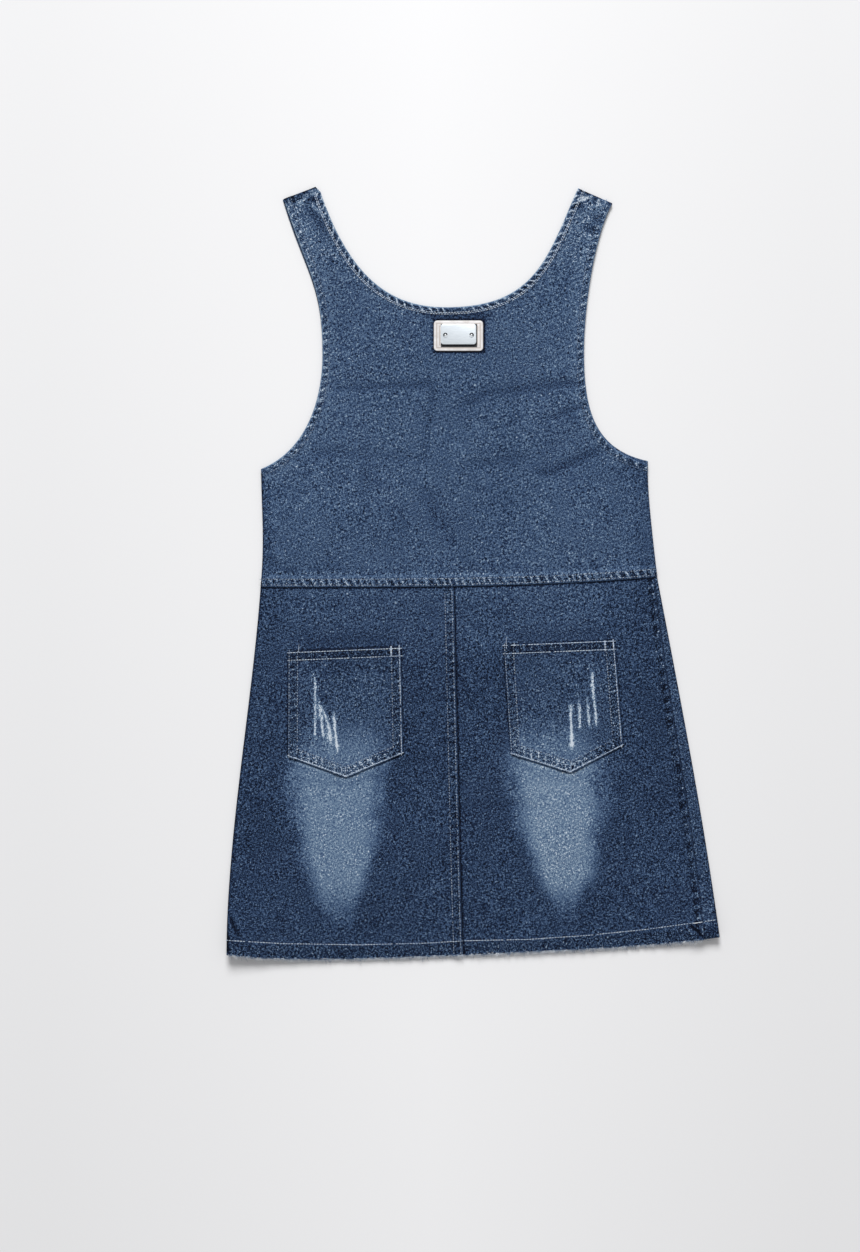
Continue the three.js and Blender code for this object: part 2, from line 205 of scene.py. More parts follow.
def bezier(*controls):
    """A smooth line through every third point, shaped by the two between."""
    line = []
    for start in range(0, len(controls) - 1, 3):
        line += [tuple(spot) for spot in interpolate_bezier(*controls[start:start + 4], 160)]
    return np.array(line)


def evenly(line, step):
    """The same line with points at even steps."""
    line = np.asarray(line, float)
    lengths = np.concatenate([[0], np.cumsum(np.hypot(*np.diff(line, axis=0).T))])
    stations = np.linspace(0, lengths[-1], max(1, round(lengths[-1] / step)) + 1)
    return np.stack([np.interp(stations, lengths, line[:, axis]) for axis in (0, 1)], 1)


def length_of(line):
    return np.hypot(*np.diff(np.asarray(line, float), axis=0).T).sum()


def heading(line):
    way = np.gradient(line, axis=0)
    return way / np.hypot(*way.T)[:, None]


def beside(line, distance):
    """A line at a distance to the left of another."""
    line = evenly(line, 1.0)
    way = heading(line)
    return line + np.stack([-way[:, 1], way[:, 0]], 1) * distance


def measure(spots, line):
    """How far each spot lies to the left of a line, and how far along it."""
    fine = evenly(line, 1.0)
    way = heading(fine)
    step = np.hypot(*np.diff(fine, axis=0).T).mean()
    coarse = np.arange(0, len(fine), 8)
    window = np.arange(-9, 10)
    away = np.empty(len(spots))
    along = np.empty(len(spots))
    for start in range(0, len(spots), 4000):
        part = slice(start, start + 4000)
        near = coarse[((spots[part, None] - fine[coarse][None]) ** 2).sum(2).argmin(1)]
        choices = np.clip(near[:, None] + window, 0, len(fine) - 1)
        best = ((spots[part, None] - fine[choices]) ** 2).sum(2).argmin(1)
        nearest = choices[np.arange(len(choices)), best]
        offset = spots[part] - fine[nearest]
        away[part] = way[nearest, 0] * offset[:, 1] - way[nearest, 1] * offset[:, 0]
        along[part] = nearest * step + (way[nearest] * offset).sum(1)
    return away, along


def soft_step(value, low, high):
    share = np.clip((value - low) / (high - low), 0, 1)
    return share * share * (3 - 2 * share)


def bell(value, centre, half_width):
    return np.exp(-((value - centre) / half_width) ** 2)


def clouds(spots, size, layer):
    """Soft patches between -1 and 1, about the given size across."""
    return np.array([noise.noise((x / size, y / size, layer)) for x, y in spots])


def curl(spots):
    total = np.zeros(len(spots))
    for x, y, reach, height in CURLS:
        total += height * np.clip(1 - np.hypot(spots[:, 0] - x, spots[:, 1] - y) / reach, 0, 1) ** 2
    return total


def creases(spots):
    """How far the creases lift each spot, and how they change its tone: painted shade in the troughs and
    painted highlight on the ridges.
    """
    lift = np.zeros(len(spots))
    shade = np.zeros(len(spots))
    for line, half_width, height, tone in CREASES:
        line = evenly(line, 2)
        near = np.abs(spots - line.mean(0)).max(1) < np.ptp(line, axis=0).max() / 2 + 4 * half_width
        if not near.any():
            continue
        away, along = measure(spots[near], line)
        length = length_of(line)
        ends = soft_step(along, -half_width, half_width * 2)
        ends *= 1 - soft_step(along, length - half_width * 2, length + half_width)
        lift[near] += height * bell(away, 0, half_width) * ends
        shade[near] += tone * bell(away, 0, half_width) * ends
    return lift, shade


def past_label(spots):
    """How far each spot lies outside the label's patch; below nought it lies under it."""
    across = np.abs(spots[:, 0] - LABEL_X) - PATCH_WIDTH / 2
    return np.maximum(across, np.abs(spots[:, 1] - LABEL_Y) - PATCH_LENGTH / 2)


def lie(spots):
    """How far the back's cloth lies above its lowest level."""
    total = curl(spots)
    for x, y, reach_x, reach_y, height in HUMPS:
        far = np.clip(np.hypot((spots[:, 0] - x) / reach_x, (spots[:, 1] - y) / reach_y), 0, 1)
        total += height * np.cos(far * math.pi / 2) ** 2
    total += 0.5 * clouds(spots, 70, 3.1) + 0.2 * clouds(spots, 30, 8.4) + 0.5
    held = 1 - soft_step(past_label(spots), 1, 14)
    return np.maximum((total + creases(spots)[0]) * (1 - held) + UNDER_LABEL * held, 0)


def band(spots, line, width, height, period=9.4, slant=0.45, rope=0.42, rows=(), seed=0.0, stroke=0.3,
         patch=0.2, rim=0.22, droop=0.7, deep=0.0, rim_at=0.5, trough=0.0, edge=0.0):
    """A turned or lapped edge that its sewing draws into slanting puckers.

    Four settings change its tone: the rim where it wears pale, deep all over, the trough inside the first
    row, and the edge itself, where it is darkened with painted shade. The stroke and the patch are the pale
    and dark marks of each pucker.
    Gives the lift, the tone and how much rougher the cloth is there, then the distance from the edge and,
    for the marks that wear leaves on the puckers, their count so far and how pale and dark they are.
    """
    away, along = measure(spots, line)
    on_band = soft_step(away, -2.5, 0.8) * (1 - soft_step(away, width - 1, width + 2.5))
    drift = 2.6 * np.sin(along / 17.3 + seed) + 1.4 * np.sin(along / 7.1 + 2.7 * seed)
    turns = (along + slant * away + drift) / period + 3
    wave = -np.cos(2 * math.pi * turns)
    strength = 0.7 + 0.3 * np.sin(along / 29 + 1.9 * seed) * np.sin(along / 11 + seed)
    pull = soft_step(away, 0.2, 2.2) * (1 - soft_step(away, width - 1, width + 7))
    lift = height * on_band + rope * wave * strength * pull
    lift -= droop * np.clip(1 - away / 1.5, 0, 1) ** 2 * (away > -2)
    core = soft_step(away, 0.7, 1.6) * (1 - soft_step(away, width - 1.8, width - 0.4))
    frayed = 0.8 + 0.2 * np.sin(along / 3.1 + seed) * np.sin(along / 5.3)
    tone = rim * bell(away, rim_at, 0.9) * frayed * (away > -2) - deep * core
    # the edge setting paints shade along the edge itself
    tone -= trough * bell(away, 3.8, 1.1) + edge * bell(away, -0.1, 0.8)
    for row in rows:
        lift -= 0.4 * bell(away, row, 0.8)
        tone -= 0.07 * bell(away, row, 1.5)
    return lift, tone, core, away, np.stack([turns, stroke * strength * core, patch * strength * core])


def sewn(spots, height, tone, grit, bands):
    """Adds bands to a panel's height and looks; where two cross, the nearer edge's marks hold."""
    raised = np.zeros(len(spots))
    marks = np.zeros((3, len(spots)))
    nearest = np.full(len(spots), 99.0)
    second = np.full(len(spots), 99.0)
    for line, settings in bands:
        lift, shade, rough, away, marked = band(spots, line, **settings)
        raised = np.where(np.abs(lift) > np.abs(raised), lift, raised)
        tone = tone + shade
        grit = (grit + (1.4 - grit) * rough) * (1 - 0.6 * bell(away, 0.3, 1.1))
        away = np.where(away > -3, away, 99)
        second = np.minimum(second, np.maximum(away, nearest))
        marks = np.where(away < nearest, marked, marks)
        nearest = np.minimum(nearest, away)
    apart = soft_step(second - nearest, 0.3, 2.5)
    turns, pale, dark = marks * np.stack([np.ones(len(spots)), apart, apart])
    return height + raised, {"tone": tone, "grit": grit, "turns": turns, "pale": pale, "dark": dark}


def folded(spots, line, height, looks, dark=0.22):
    """A panel's plain side edge, which rounds down over the fold of its seam and is darker there."""
    away, _ = measure(spots, line)
    height = height - 0.9 * np.clip(1 - away / 2.4, 0, 1) ** 2
    return height, {**looks, "tone": looks["tone"] - dark * bell(away, 0.3, 1.6)}


def cut_cloth(outline, spacing, edge_step, rows, extra=()):
    """Points and triangles over a closed outline, in rows along its edge and staggered inside."""
    loop = np.asarray(outline)
    along = np.roll(loop, -1, 0) - np.roll(loop, 1, 0)
    along /= np.hypot(*along.T)[:, None]
    inward = np.stack([-along[:, 1], along[:, 0]], 1)
    kept = [loop]
    for row in rows:
        ring = loop + inward * row
        kept.append(ring[reach_to(ring, loop) > row * 0.93])
    low = loop.min(0)
    high = loop.max(0)
    grid_x, grid_y = np.meshgrid(np.arange(low[0], high[0], spacing),
                                 np.arange(low[1], high[1], spacing * 0.866))
    grid_x = grid_x + (np.arange(len(grid_x)) % 2)[:, None] * spacing / 2
    inner = np.stack([grid_x.ravel(), grid_y.ravel()], 1)
    inner = inner[inside(inner, loop)]
    inner = inner[reach_to(inner, loop) > (rows[-1] if rows else 0) + spacing * 0.6]
    for line in extra:
        inner = inner[reach_to(inner, line) > spacing * 0.5]
        kept.append(line[inside(line, loop) & (reach_to(line, loop) > edge_step)])
    spots = np.concatenate(kept + [inner])
    count = len(loop)
    ring_edges = [(i, (i + 1) % count) for i in range(count)]
    found = delaunay_2d_cdt([tuple(spot) for spot in spots], ring_edges, [], 1, 1e-5)
    return np.array([tuple(spot) for spot in found[0]]), found[2]


def reach_to(spots, line):
    """Distance from each spot to the nearest point of a line."""
    line = np.asarray(line)
    far = np.empty(len(spots))
    for start in range(0, len(spots), 2000):
        part = slice(start, start + 2000)
        far[part] = np.sqrt(((spots[part, None] - line[None]) ** 2).sum(2).min(1))
    return far


def inside(spots, loop):
    """Whether each spot lies inside a closed outline."""
    ends = np.roll(loop, -1, 0)
    odd = np.zeros(len(spots), bool)
    for (x1, y1), (x2, y2) in zip(loop, ends):
        if y1 == y2:
            continue
        crosses = (y1 > spots[:, 1]) != (y2 > spots[:, 1])
        odd ^= crosses & (spots[:, 0] < (x2 - x1) * (spots[:, 1] - y1) / (y2 - y1) + x1)
    return odd


def make_piece(name, spots, faces, material, smooth=50):
    """A mesh from points in millimetres, in its finish, riding on the dress."""
    mesh = bpy.data.meshes.new(name)
    mesh.from_pydata([tuple(spot) for spot in spots * MM], [], [tuple(face) for face in faces])
    piece = bpy.data.objects.new(name, mesh)
    bpy.context.collection.objects.link(piece)
    mesh.materials.append(material)
    bpy.ops.object.select_all(action="DESELECT")
    piece.select_set(True)
    bpy.context.view_layer.objects.active = piece
    bpy.ops.object.shade_smooth_by_angle(angle=math.radians(smooth))
    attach(piece, "root")
    return piece


def dye(piece, looks):
    """Gives each point of a panel the tone, grit and marks that its denim reads."""
    for key, values in looks.items():
        piece.data.attributes.new(key, "FLOAT", "POINT").data.foreach_set("value", values)


def thicken(piece):
    shell = piece.modifiers.new("wall", "SOLIDIFY")
    shell.thickness = CLOTH * MM
    shell.offset = -1
    bpy.ops.object.modifier_apply(modifier="wall")


def make_panel(name, spots, height, looks, faces, material, slot):
    """A panel of cloth with its looks and its wall."""
    piece = make_piece(name, np.column_stack([spots, height]), faces, material)
    dye(piece, looks)
    thicken(piece)
    return piece


def noise_of(tree, vector, scale, detail):
    """Soft noise between 0 and 1 over a vector."""
    node = add_node(tree, "ShaderNodeTexNoise", {"Vector": vector, "Scale": scale, "Detail": detail})
    return node.outputs["Fac"]


def roughen(tree, shader, strength, distance, height):
    """Gives a finish its relief; the distance is in metres."""
    settings = {"Strength": strength, "Distance": distance, "Height": height}
    tree.links.new(add_node(tree, "ShaderNodeBump", settings).outputs[0], shader.inputs["Normal"])


def denim(name, grain, speckle, mottle):
    """Washed indigo twill: its colour follows the tone of the cloth, broken up by slubs and speckles."""
    material, tree, shader = finish(name, 0.95)
    shader.inputs["Specular IOR Level"].default_value = 0.06
    shader.inputs["Sheen Weight"].default_value = 0.02
    shader.inputs["Sheen Roughness"].default_value = 0.6
    place = add_node(tree, "ShaderNodeTexCoord").outputs["Object"]
    turned = add_node(tree, "ShaderNodeMapping", {"Vector": place, "Rotation": (0, 0, grain)}).outputs[0]
    warp = add_node(tree, "ShaderNodeMapping", {"Vector": turned, "Scale": (1, 0.4, 1)}).outputs[0]
    weft = add_node(tree, "ShaderNodeMapping", {"Vector": turned, "Scale": (0.35, 1, 1)}).outputs[0]

    def layered(total, parts):
        for vector, scale, detail, amount in parts:
            centred = sum_of(tree, "SUBTRACT", noise_of(tree, vector, scale, detail), 0.5)
            total = sum_of(tree, "MULTIPLY_ADD", centred, amount * 2, total)
        return total

    speckles = layered(0.0, ((turned, 960, 0.0, speckle), (warp, 960, 0.0, speckle * 0.4),
                             (weft, 1000, 0.0, speckle * 0.3)))
    read = {key: add_node(tree, "ShaderNodeAttribute", attribute_name=key).outputs["Fac"]
            for key in ("tone", "grit", "turns", "pale", "dark")}
    tone = layered(read["tone"], ((turned, 70, 3.0, mottle), (turned, 19, 2.0, mottle * 0.5)))
    for angle, scale, amount in ((17, 76, 0.07), (63, 74, 0.1), (108, 78, 0.07), (152, 73, 0.06)):
        slant = add_node(tree, "ShaderNodeMapping", {"Vector": place, "Location": (angle, angle, 0),
                                                     "Rotation": (0, 0, math.radians(angle))}).outputs[0]
        weave = add_node(tree, "ShaderNodeTexWave", {"Vector": slant, "Scale": scale, "Distortion": 4.5,
                                                     "Detail": 1.0}, wave_type="BANDS", bands_direction="X")
        centred = sum_of(tree, "SUBTRACT", weave.outputs["Fac"], 0.5)
        speckles = sum_of(tree, "MULTIPLY_ADD", centred, amount, speckles)
    turns = layered(read["turns"], ((place, 330, 1.0, 0.1),))
    reach = sum_of(tree, "ABSOLUTE", sum_of(tree, "SUBTRACT", sum_of(tree, "FRACT", turns), 0.5))
    stroke = add_node(tree, "ShaderNodeMapRange", {0: reach, 1: 0.04, 2: 0.1, 3: 1.0, 4: 0.0}).outputs[0]
    patch = add_node(tree, "ShaderNodeMapRange", {0: reach, 1: 0.2, 2: 0.27, 3: 0.0, 4: -1.0}).outputs[0]
    for share, strength in ((stroke, read["pale"]), (patch, read["dark"]), (speckles, read["grit"])):
        tone = sum_of(tree, "MULTIPLY_ADD", share, strength, tone)
    colour = blend(tree, tone, ((0.0, (8, 14, 28)), (0.2, (26, 40, 65)), (0.4, (53, 73, 104)),
                                (0.55, (72, 95, 127)), (0.75, (106, 128, 152)), (0.9, (135, 157, 178)),
                                (1.0, (198, 208, 219))))
    tree.links.new(colour, shader.inputs["Base Color"])
    slope = add_node(tree, "ShaderNodeMapping",
                     {"Vector": turned, "Rotation": (0, 0, math.radians(28))}).outputs[0]
    twill = add_node(tree, "ShaderNodeTexWave",
                     {"Vector": slope, "Scale": 300, "Distortion": 1.2, "Detail": 1},
                     wave_type="BANDS", bands_direction="X")
    slubs = noise_of(tree, turned, 700, 2)
    roughen(tree, shader, 0.5, 0.0003, sum_of(tree, "MULTIPLY_ADD", twill.outputs["Fac"], 0.5, slubs))
    return material


def around(*lines, step):
    """One closed outline from lines that follow each other."""
    return np.concatenate([evenly(line, step)[:-1] for line in lines])


STRAP_LEFT_OUTER = (-207.3, 411.7)
STRAP_LEFT_TOP = (-172.4, 425)
STRAP_LEFT_INNER = (-166.9, 419.4)
STRAP_RIGHT_INNER = (116.3, 423.4)
STRAP_RIGHT_OUTER = (154.1, 406.8)
NECK_LOW = (-28.9, 292.6)
UNDERARM_LEFT = (-232.4, 114.7)
UNDERARM_RIGHT = (193.3, 120.5)
WAIST_LEFT = (-232.9, -15.4)
WAIST_RIGHT = (203.4, -4.1)
ARM_LEFT_MIDDLE = (-164.9, 243.4)
ARM_RIGHT_MIDDLE = (122.9, 241.2)

waist_line = bezier(WAIST_LEFT, (-127.9, -15.4), (62.8, -17.2), WAIST_RIGHT)
side_right_line = bezier(WAIST_RIGHT, (198.7, 40.1), (191.9, 91), UNDERARM_RIGHT)
armhole_right_line = bezier(UNDERARM_RIGHT, (139.7, 133), (122.9, 171.9), ARM_RIGHT_MIDDLE,
                            (122.9, 293.8), (134.5, 371.2), STRAP_RIGHT_OUTER)
shoulder_right_line = np.array([STRAP_RIGHT_OUTER, STRAP_RIGHT_INNER])
neck_line = bezier(STRAP_RIGHT_INNER, (82.4, 349), (71.7, 292.6), NECK_LOW,
                   (-80.2, 292.6), (-131.1, 313.7), STRAP_LEFT_INNER)
corner_line = np.array([STRAP_LEFT_INNER, STRAP_LEFT_TOP])
shoulder_left_line = np.array([STRAP_LEFT_TOP, STRAP_LEFT_OUTER])
armhole_left_line = bezier(STRAP_LEFT_OUTER, (-182.1, 331.5), (-164.9, 319.2), ARM_LEFT_MIDDLE,
                           (-164.9, 239.4), (-160.7, 144), UNDERARM_LEFT)
side_left_line = bezier(UNDERARM_LEFT, (-231.6, 63), (-228.2, 38.7), WAIST_LEFT)
EDGE_STEP = 1.8
EDGE_ROWS = (0.6, 1.4, 2.4, 3.6, 4.9, 6.2, 7.5, 8.8, 10.2, 12, 14.4, 17.2)
CLOTH_SPACING = 3.8
ARMHOLE_ROW = 7.6
WAIST_ROWS = (2.3, 8.8)
NECK_ROWS = (5.9, 7.5)
BODICE_BANDS = (
    (neck_line, dict(width=7.6, height=0.8, rope=0.3, rows=(6.0, 7.4), seed=0.4, period=8.6, slant=0.8,
                     stroke=0.6, patch=0.36, rim=0.42, deep=-0.03)),
    (armhole_left_line, dict(width=8.4, height=0.8, rope=0.3, rows=(ARMHOLE_ROW,), seed=1.3,
                             stroke=0.22, patch=0.28, rim=0.4, deep=-0.06)),
    (armhole_right_line, dict(width=8.4, height=0.8, rope=0.3, rows=(ARMHOLE_ROW,), seed=2.6,
                              stroke=0.22, patch=0.3, deep=-0.05)),
    (shoulder_left_line, dict(width=4, height=0.7, rope=0.2, seed=3.7, rim=-0.5)),
    (shoulder_right_line, dict(width=4, height=0.7, rope=0.2, seed=4.1, rim=-0.5)),
    (waist_line, dict(width=10.5, height=1.45, rope=0.5, rows=WAIST_ROWS, seed=5.5, period=8.2,
                      stroke=0.4, patch=0.3, rim=0.06, rim_at=2.2, trough=0.04, deep=0.02)),
)


def bodice_surface(spots):
    """Height and looks of the back bodice's upper face."""
    height = BACK_TOP + lie(spots)
    tone = 0.425 + 0.03 * clouds(spots, 90, 1.7) + 0.02 * clouds(spots, 24, 5.2) + creases(spots)[1]
    tone += 0.02 * soft_step(spots[:, 1], 200, 280) - 0.05 * soft_step(spots[:, 0], 160, 192)
    strap = soft_step(spots[:, 1], 300, 390)
    tip = soft_step(spots[:, 1], 398, 412)
    tone += strap * 0.05 + tip * (0.75 * clouds(spots, 8, 9.9) + 0.3 * clouds(spots, 3.6, 4.4)
                                  - 0.1 + 0.2 * (spots[:, 0] > 0))
    from_waist, _ = measure(spots, waist_line)
    tone += 0.07 * (1 - soft_step(from_waist, 12, 14.5)) - 0.03 * bell(from_waist, 18, 4)
    # painted shadow: a dark ring on the cloth just outside the leather patch, weaker at its left side; the
    # cloth is also darker in a strip above the patch
    outside = past_label(spots)
    above = soft_step(spots[:, 1], LABEL_Y + 18, LABEL_Y + 21) * (1 - soft_step(outside, 6, 12))
    left = soft_step(spots[:, 0], LABEL_X - 26, LABEL_X - 28)
    tone -= (0.62 - 0.34 * left) * bell(outside, 0.7, 1.3) + 0.2 * above
    height, looks = sewn(spots, height, tone, 1 + 0.3 * strap, BODICE_BANDS)
    height, looks = folded(spots, side_left_line, height, looks)
    height, looks = folded(spots, side_right_line, height, looks, 0.08)
    looks["tone"] = looks["tone"] - 0.05 * (1 - soft_step(measure(spots, side_left_line)[0], 6, 14))
    for line in (armhole_left_line, armhole_right_line):
        looks["tone"] = looks["tone"] + 0.06 * bell(measure(spots, line)[0], 9, 6)
    # the flat joint of the neck's turning, above the label
    joint = bell(spots[:, 0], -19, 9) * soft_step(spots[:, 1], 286, 287.5)
    looks["tone"] = looks["tone"] - 0.12 * joint
    looks["pale"] = looks["pale"] * (1 - joint)
    looks["dark"] = looks["dark"] * (1 - joint)
    return height, looks


bodice_outline = around(waist_line, side_right_line, armhole_right_line, shoulder_right_line, neck_line,
                        corner_line, shoulder_left_line, armhole_left_line, side_left_line, step=EDGE_STEP)
square = np.array([(-1, -1), (1, -1), (1, 1), (-1, 1), (-1, -1)])
patch_corners = square * (PATCH_WIDTH / 2, PATCH_LENGTH / 2)
round_label = [evenly(patch_corners * (1 + grow / 28, 1 + grow / 19) + (LABEL_X, LABEL_Y), 2.4)
               for grow in (-1.5, 0.3, 1.6, 3.2)]
spots, faces = cut_cloth(bodice_outline, CLOTH_SPACING, EDGE_STEP, EDGE_ROWS, round_label)
bodice_denim = denim("bodice denim", 0.0, 0.57, 0.02)
back_bodice = make_panel("back_bodice_cloth", spots, *bodice_surface(spots), faces, bodice_denim,
                         "bodice_denim")
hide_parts("back_bodice")

STITCH_LENGTH = 2.5
STITCH_PITCH = 3.1
THREAD_RADIUS = 0.36


def sewing_thread(name, pale, dull):
    """Spun thread, paler where it is clean and duller where the wash has rubbed it."""
    material, tree, shader = finish(name, 0.8)
    shader.inputs["Sheen Weight"].default_value = 0.15
    place = add_node(tree, "ShaderNodeTexCoord").outputs["Object"]
    colour = blend(tree, noise_of(tree, place, 160, 2), ((0.38, dull), (0.62, pale)))
    tree.links.new(colour, shader.inputs["Base Color"])
    roughen(tree, shader, 0.5, 0.0001, noise_of(tree, place, 2600, 1))
    return material


def pick_faces(piece, chosen):
    """Selects in edit mode the faces that a test on their middle and normal chooses."""
    bpy.ops.object.mode_set(mode="EDIT")
    bpy.ops.mesh.select_all(action="DESELECT")
    bpy.ops.object.mode_set(mode="OBJECT")
    for face in piece.data.polygons:
        face.select = bool(chosen(face.center, face.normal))
    bpy.ops.object.mode_set(mode="EDIT")


def model_stitch():
    """One stitch as it shows on the cloth: a bar of thread whose ends are drawn in and dip."""
    bpy.ops.object.select_all(action="DESELECT")
    bpy.ops.mesh.primitive_cylinder_add(
        vertices=6, radius=THREAD_RADIUS * MM, depth=STITCH_LENGTH * 0.56 * MM,
        location=(0, 0, 0.16 * MM), rotation=(0, math.pi / 2, 0))
    form = bpy.context.object
    bpy.ops.object.transform_apply(location=True, rotation=True, scale=True)
    for end in (-1, 1):
        pick_faces(form, lambda centre, normal: normal.x * end > 0.9)
        bpy.ops.mesh.extrude_region_move(
            TRANSFORM_OT_translate={"value": (end * STITCH_LENGTH * 0.22 * MM, 0, -0.28 * MM)})
        bpy.ops.transform.resize(value=(1, 0.5, 0.5))
        bpy.ops.object.mode_set(mode="OBJECT")
    corners = np.array([tuple(vertex.co) for vertex in form.data.vertices]) / MM
    faces = [tuple(face.vertices) for face in form.data.polygons]
    bpy.data.objects.remove(form)
    return corners, faces


stitch_corners, stitch_faces = model_stitch()


def sew(name, rows, surface, material, seed, skip=0.03, size=1.0):
    """Copies of the stitch along rows, as one piece; the size is their share of the full length.

    Each row is a line, a distance to its left, and the share of its length to start and end at.
    """
    chance = np.random.default_rng(seed)
    places = []
    ways = []
    for line, offset, first, last in rows:
        row = evenly(beside(line, offset), STITCH_PITCH)
        kept = slice(int(len(row) * first), max(2, round(len(row) * last)))
        places.append(row[kept])
        ways.append(heading(row)[kept])
    places = np.concatenate(places)
    ways = np.concatenate(ways)
    kept = chance.random(len(places)) >= skip
    places = places[kept]
    count = len(places)
    ways = ways[kept] + chance.uniform(-0.09, 0.09, (count, 2))
    lengths = size * chance.uniform(0.88, 1.08, count)[:, None]
    girths = chance.uniform(0.85, 1.2, count)[:, None]
    ends = [surface(places + ways * side * STITCH_LENGTH / 2)[0][:, None] for side in (-1, 1)]
    run = stitch_corners[:, 0] * lengths
    across = stitch_corners[:, 1] * girths
    height = stitch_corners[:, 2] * girths + ends[0] + (ends[1] - ends[0]) * (run / STITCH_LENGTH + 0.5)
    spots = np.stack([places[:, :1] + run * ways[:, :1] - across * ways[:, 1:],
                      places[:, 1:] + run * ways[:, 1:] + across * ways[:, :1], height], 2).reshape(-1, 3)
    faces = [tuple(corner + copy * len(stitch_corners) for corner in face)
             for copy in range(count) for face in stitch_faces]
    return make_piece(name, spots, faces, material)


dull_thread = sewing_thread("dull thread", (170, 183, 198), (108, 124, 147))
pale_thread = sewing_thread("pale thread", (206, 218, 232), (156, 173, 196))
blue_thread = sewing_thread("stained thread", (138, 154, 174), (82, 102, 130))
armhole_rows = [(line, ARMHOLE_ROW, 0, 1) for line in (armhole_left_line, armhole_right_line)]
waist_rows = [(waist_line, row, 0, 1) for row in WAIST_ROWS]
neck_rows = [(neck_line, row, 0, 1) for row in NECK_ROWS]
bodice_stitches = [
    sew("armhole_stitches", armhole_rows, bodice_surface, blue_thread, 10, size=0.8),
    sew("waist_stitches", waist_rows, bodice_surface, dull_thread, 11, size=0.75),
]
neck_stitches = sew("neck_stitches", neck_rows, bodice_surface, pale_thread, 12, skip=0.01)


# Back skirt, left and right of the centre seam.
# Two panels of darker twill, faded in a tapering patch below each pocket. The left one laps over the
# right one in a twin-needle seam, and both run up under the bodice's edge and end in a frayed hem.
HEM_LEFT = (-269.8, -419.1)
HEM_CENTRE = (-10.2, -420.6)
FOLD_BOTTOM = (270.4, -400.1)
FOLD_TOP = (201.95, -4.1)
HEM_ROW = ((-269.4, -403), (-208.2, -407.1), (-126.8, -408.7), (-46.5, -406.6), (-10.2, -404.2),
           (62.4, -402.6), (127.3, -398.2), (192.2, -391.6), (247.2, -383.8), (265.5, -381.2))
UNDERLAP = 6.5
UNDERLAP_DROP = 0.65
FADES = {
    # y, middle x, half width, from below; then the heights that it fades out at
    "left": (((-398, -146, 10), (-372, -147, 20), (-343, -147, 32), (-301, -149, 48), (-259, -148, 59),
              (-217, -148, 60), (-165, -142, 46)), -150, -400),
    "right": (((-390, 104, 8), (-364, 104, 18), (-343, 103, 29), (-301, 100, 44), (-267, 96, 51),
               (-217, 92, 58), (-165, 84, 48)), -150, -392),
}
POCKETS = {
    "pocket_left": ((-202.6, -202.3), (-139.1, -225), (-76, -199.1), (-78.5, -80.2), (-202.2, -85.2)),
    "pocket_right": ((42.5, -199.8), (108, -220), (166, -190.3), (156.6, -73.5), (34.4, -78.5)),
}

hem_line = bezier(HEM_LEFT, (-209.5, -430.6), (-70, -422.9), HEM_CENTRE,
                  (108.1, -415.3), (211.4, -411.2), FOLD_BOTTOM)
centre_line = bezier(HEM_CENTRE, (-14.7, -287.6), (-17, -146.7), (-20.3, -16.2))
side_seam_line = bezier((254.9, -402.8), (243.3, -266.6), (213.8, -139.6), (200.1, -4.1))
skirt_left_line = bezier(WAIST_LEFT, (-242.3, -145.9), (-270.9, -291.9), HEM_LEFT)
HEM_BAND = (hem_line, dict(width=15.5, height=0.5, rope=0.3, seed=8.8, period=12.5, slant=0.25,
                           stroke=0.03, patch=0.04, rim=0.6))
CENTRE_ROWS = (2.2, 10.0)
LEFT_BANDS = (
    (centre_line, dict(width=9.5, height=1.4, rope=0.45, rows=CENTRE_ROWS, seed=7.2, period=8.5,
                       slant=0.1, stroke=0.1, patch=0.24, rim=0.3, rim_at=2.0, trough=0.06)),
    HEM_BAND,
)
RIGHT_BANDS = (
    (side_seam_line, dict(width=9, height=1.3, rope=0.3, seed=9.7, period=15, stroke=0.03, patch=0.3,
                          rim=0.26, rim_at=2.4, deep=0.04)),
    HEM_BAND,
)


def rounded(corners, radius):
    """The edges of a closed outline, each of whose corners is turned on a small curve."""
    corners = [np.array(corner, float) for corner in corners]
    count = len(corners)
    edges = []
    for index in range(count):
        here, after, last = corners[index], corners[(index + 1) % count], corners[(index + 2) % count]
        way = (after - here) / np.hypot(*(after - here))
        on = (last - after) / np.hypot(*(last - after))
        stop = after - way * radius
        turn = bezier(tuple(stop), tuple(stop + way * radius * 0.55), tuple(after + on * radius * 0.45),
                      tuple(after + on * radius))
        edges.append(np.vstack([[here + way * radius], turn]))
    return edges


pocket_outlines = {name: around(*rounded(corners, 2.2), step=1.7) for name, corners in POCKETS.items()}


def around_pockets(distance):
    """The outlines of both pockets, a little way outside them."""
    rings = []
    for outline in pocket_outlines.values():
        closed = np.vstack([outline, outline[:1]])
        rings.append(evenly(beside(closed, -distance), 2.2))
    return rings


def faded(spots, side):
    """A soft-edged worn patch that tapers downwards."""
    rows, top, bottom = FADES[side]
    levels, centres, halves = np.array(rows).T
    centre = np.interp(spots[:, 1], levels, centres)
    half = np.interp(spots[:, 1], levels, halves)
    ragged = half * (1 + 0.2 * clouds(spots, 34, 2.2) + 0.12 * clouds(spots, 11, 7.7))
    across = 1 - soft_step(np.abs(spots[:, 0] - centre), ragged * 0.5, ragged * 1.15)
    along = soft_step(spots[:, 1], bottom, bottom + 62) * (1 - soft_step(spots[:, 1], top - 45, top))
    return across * along


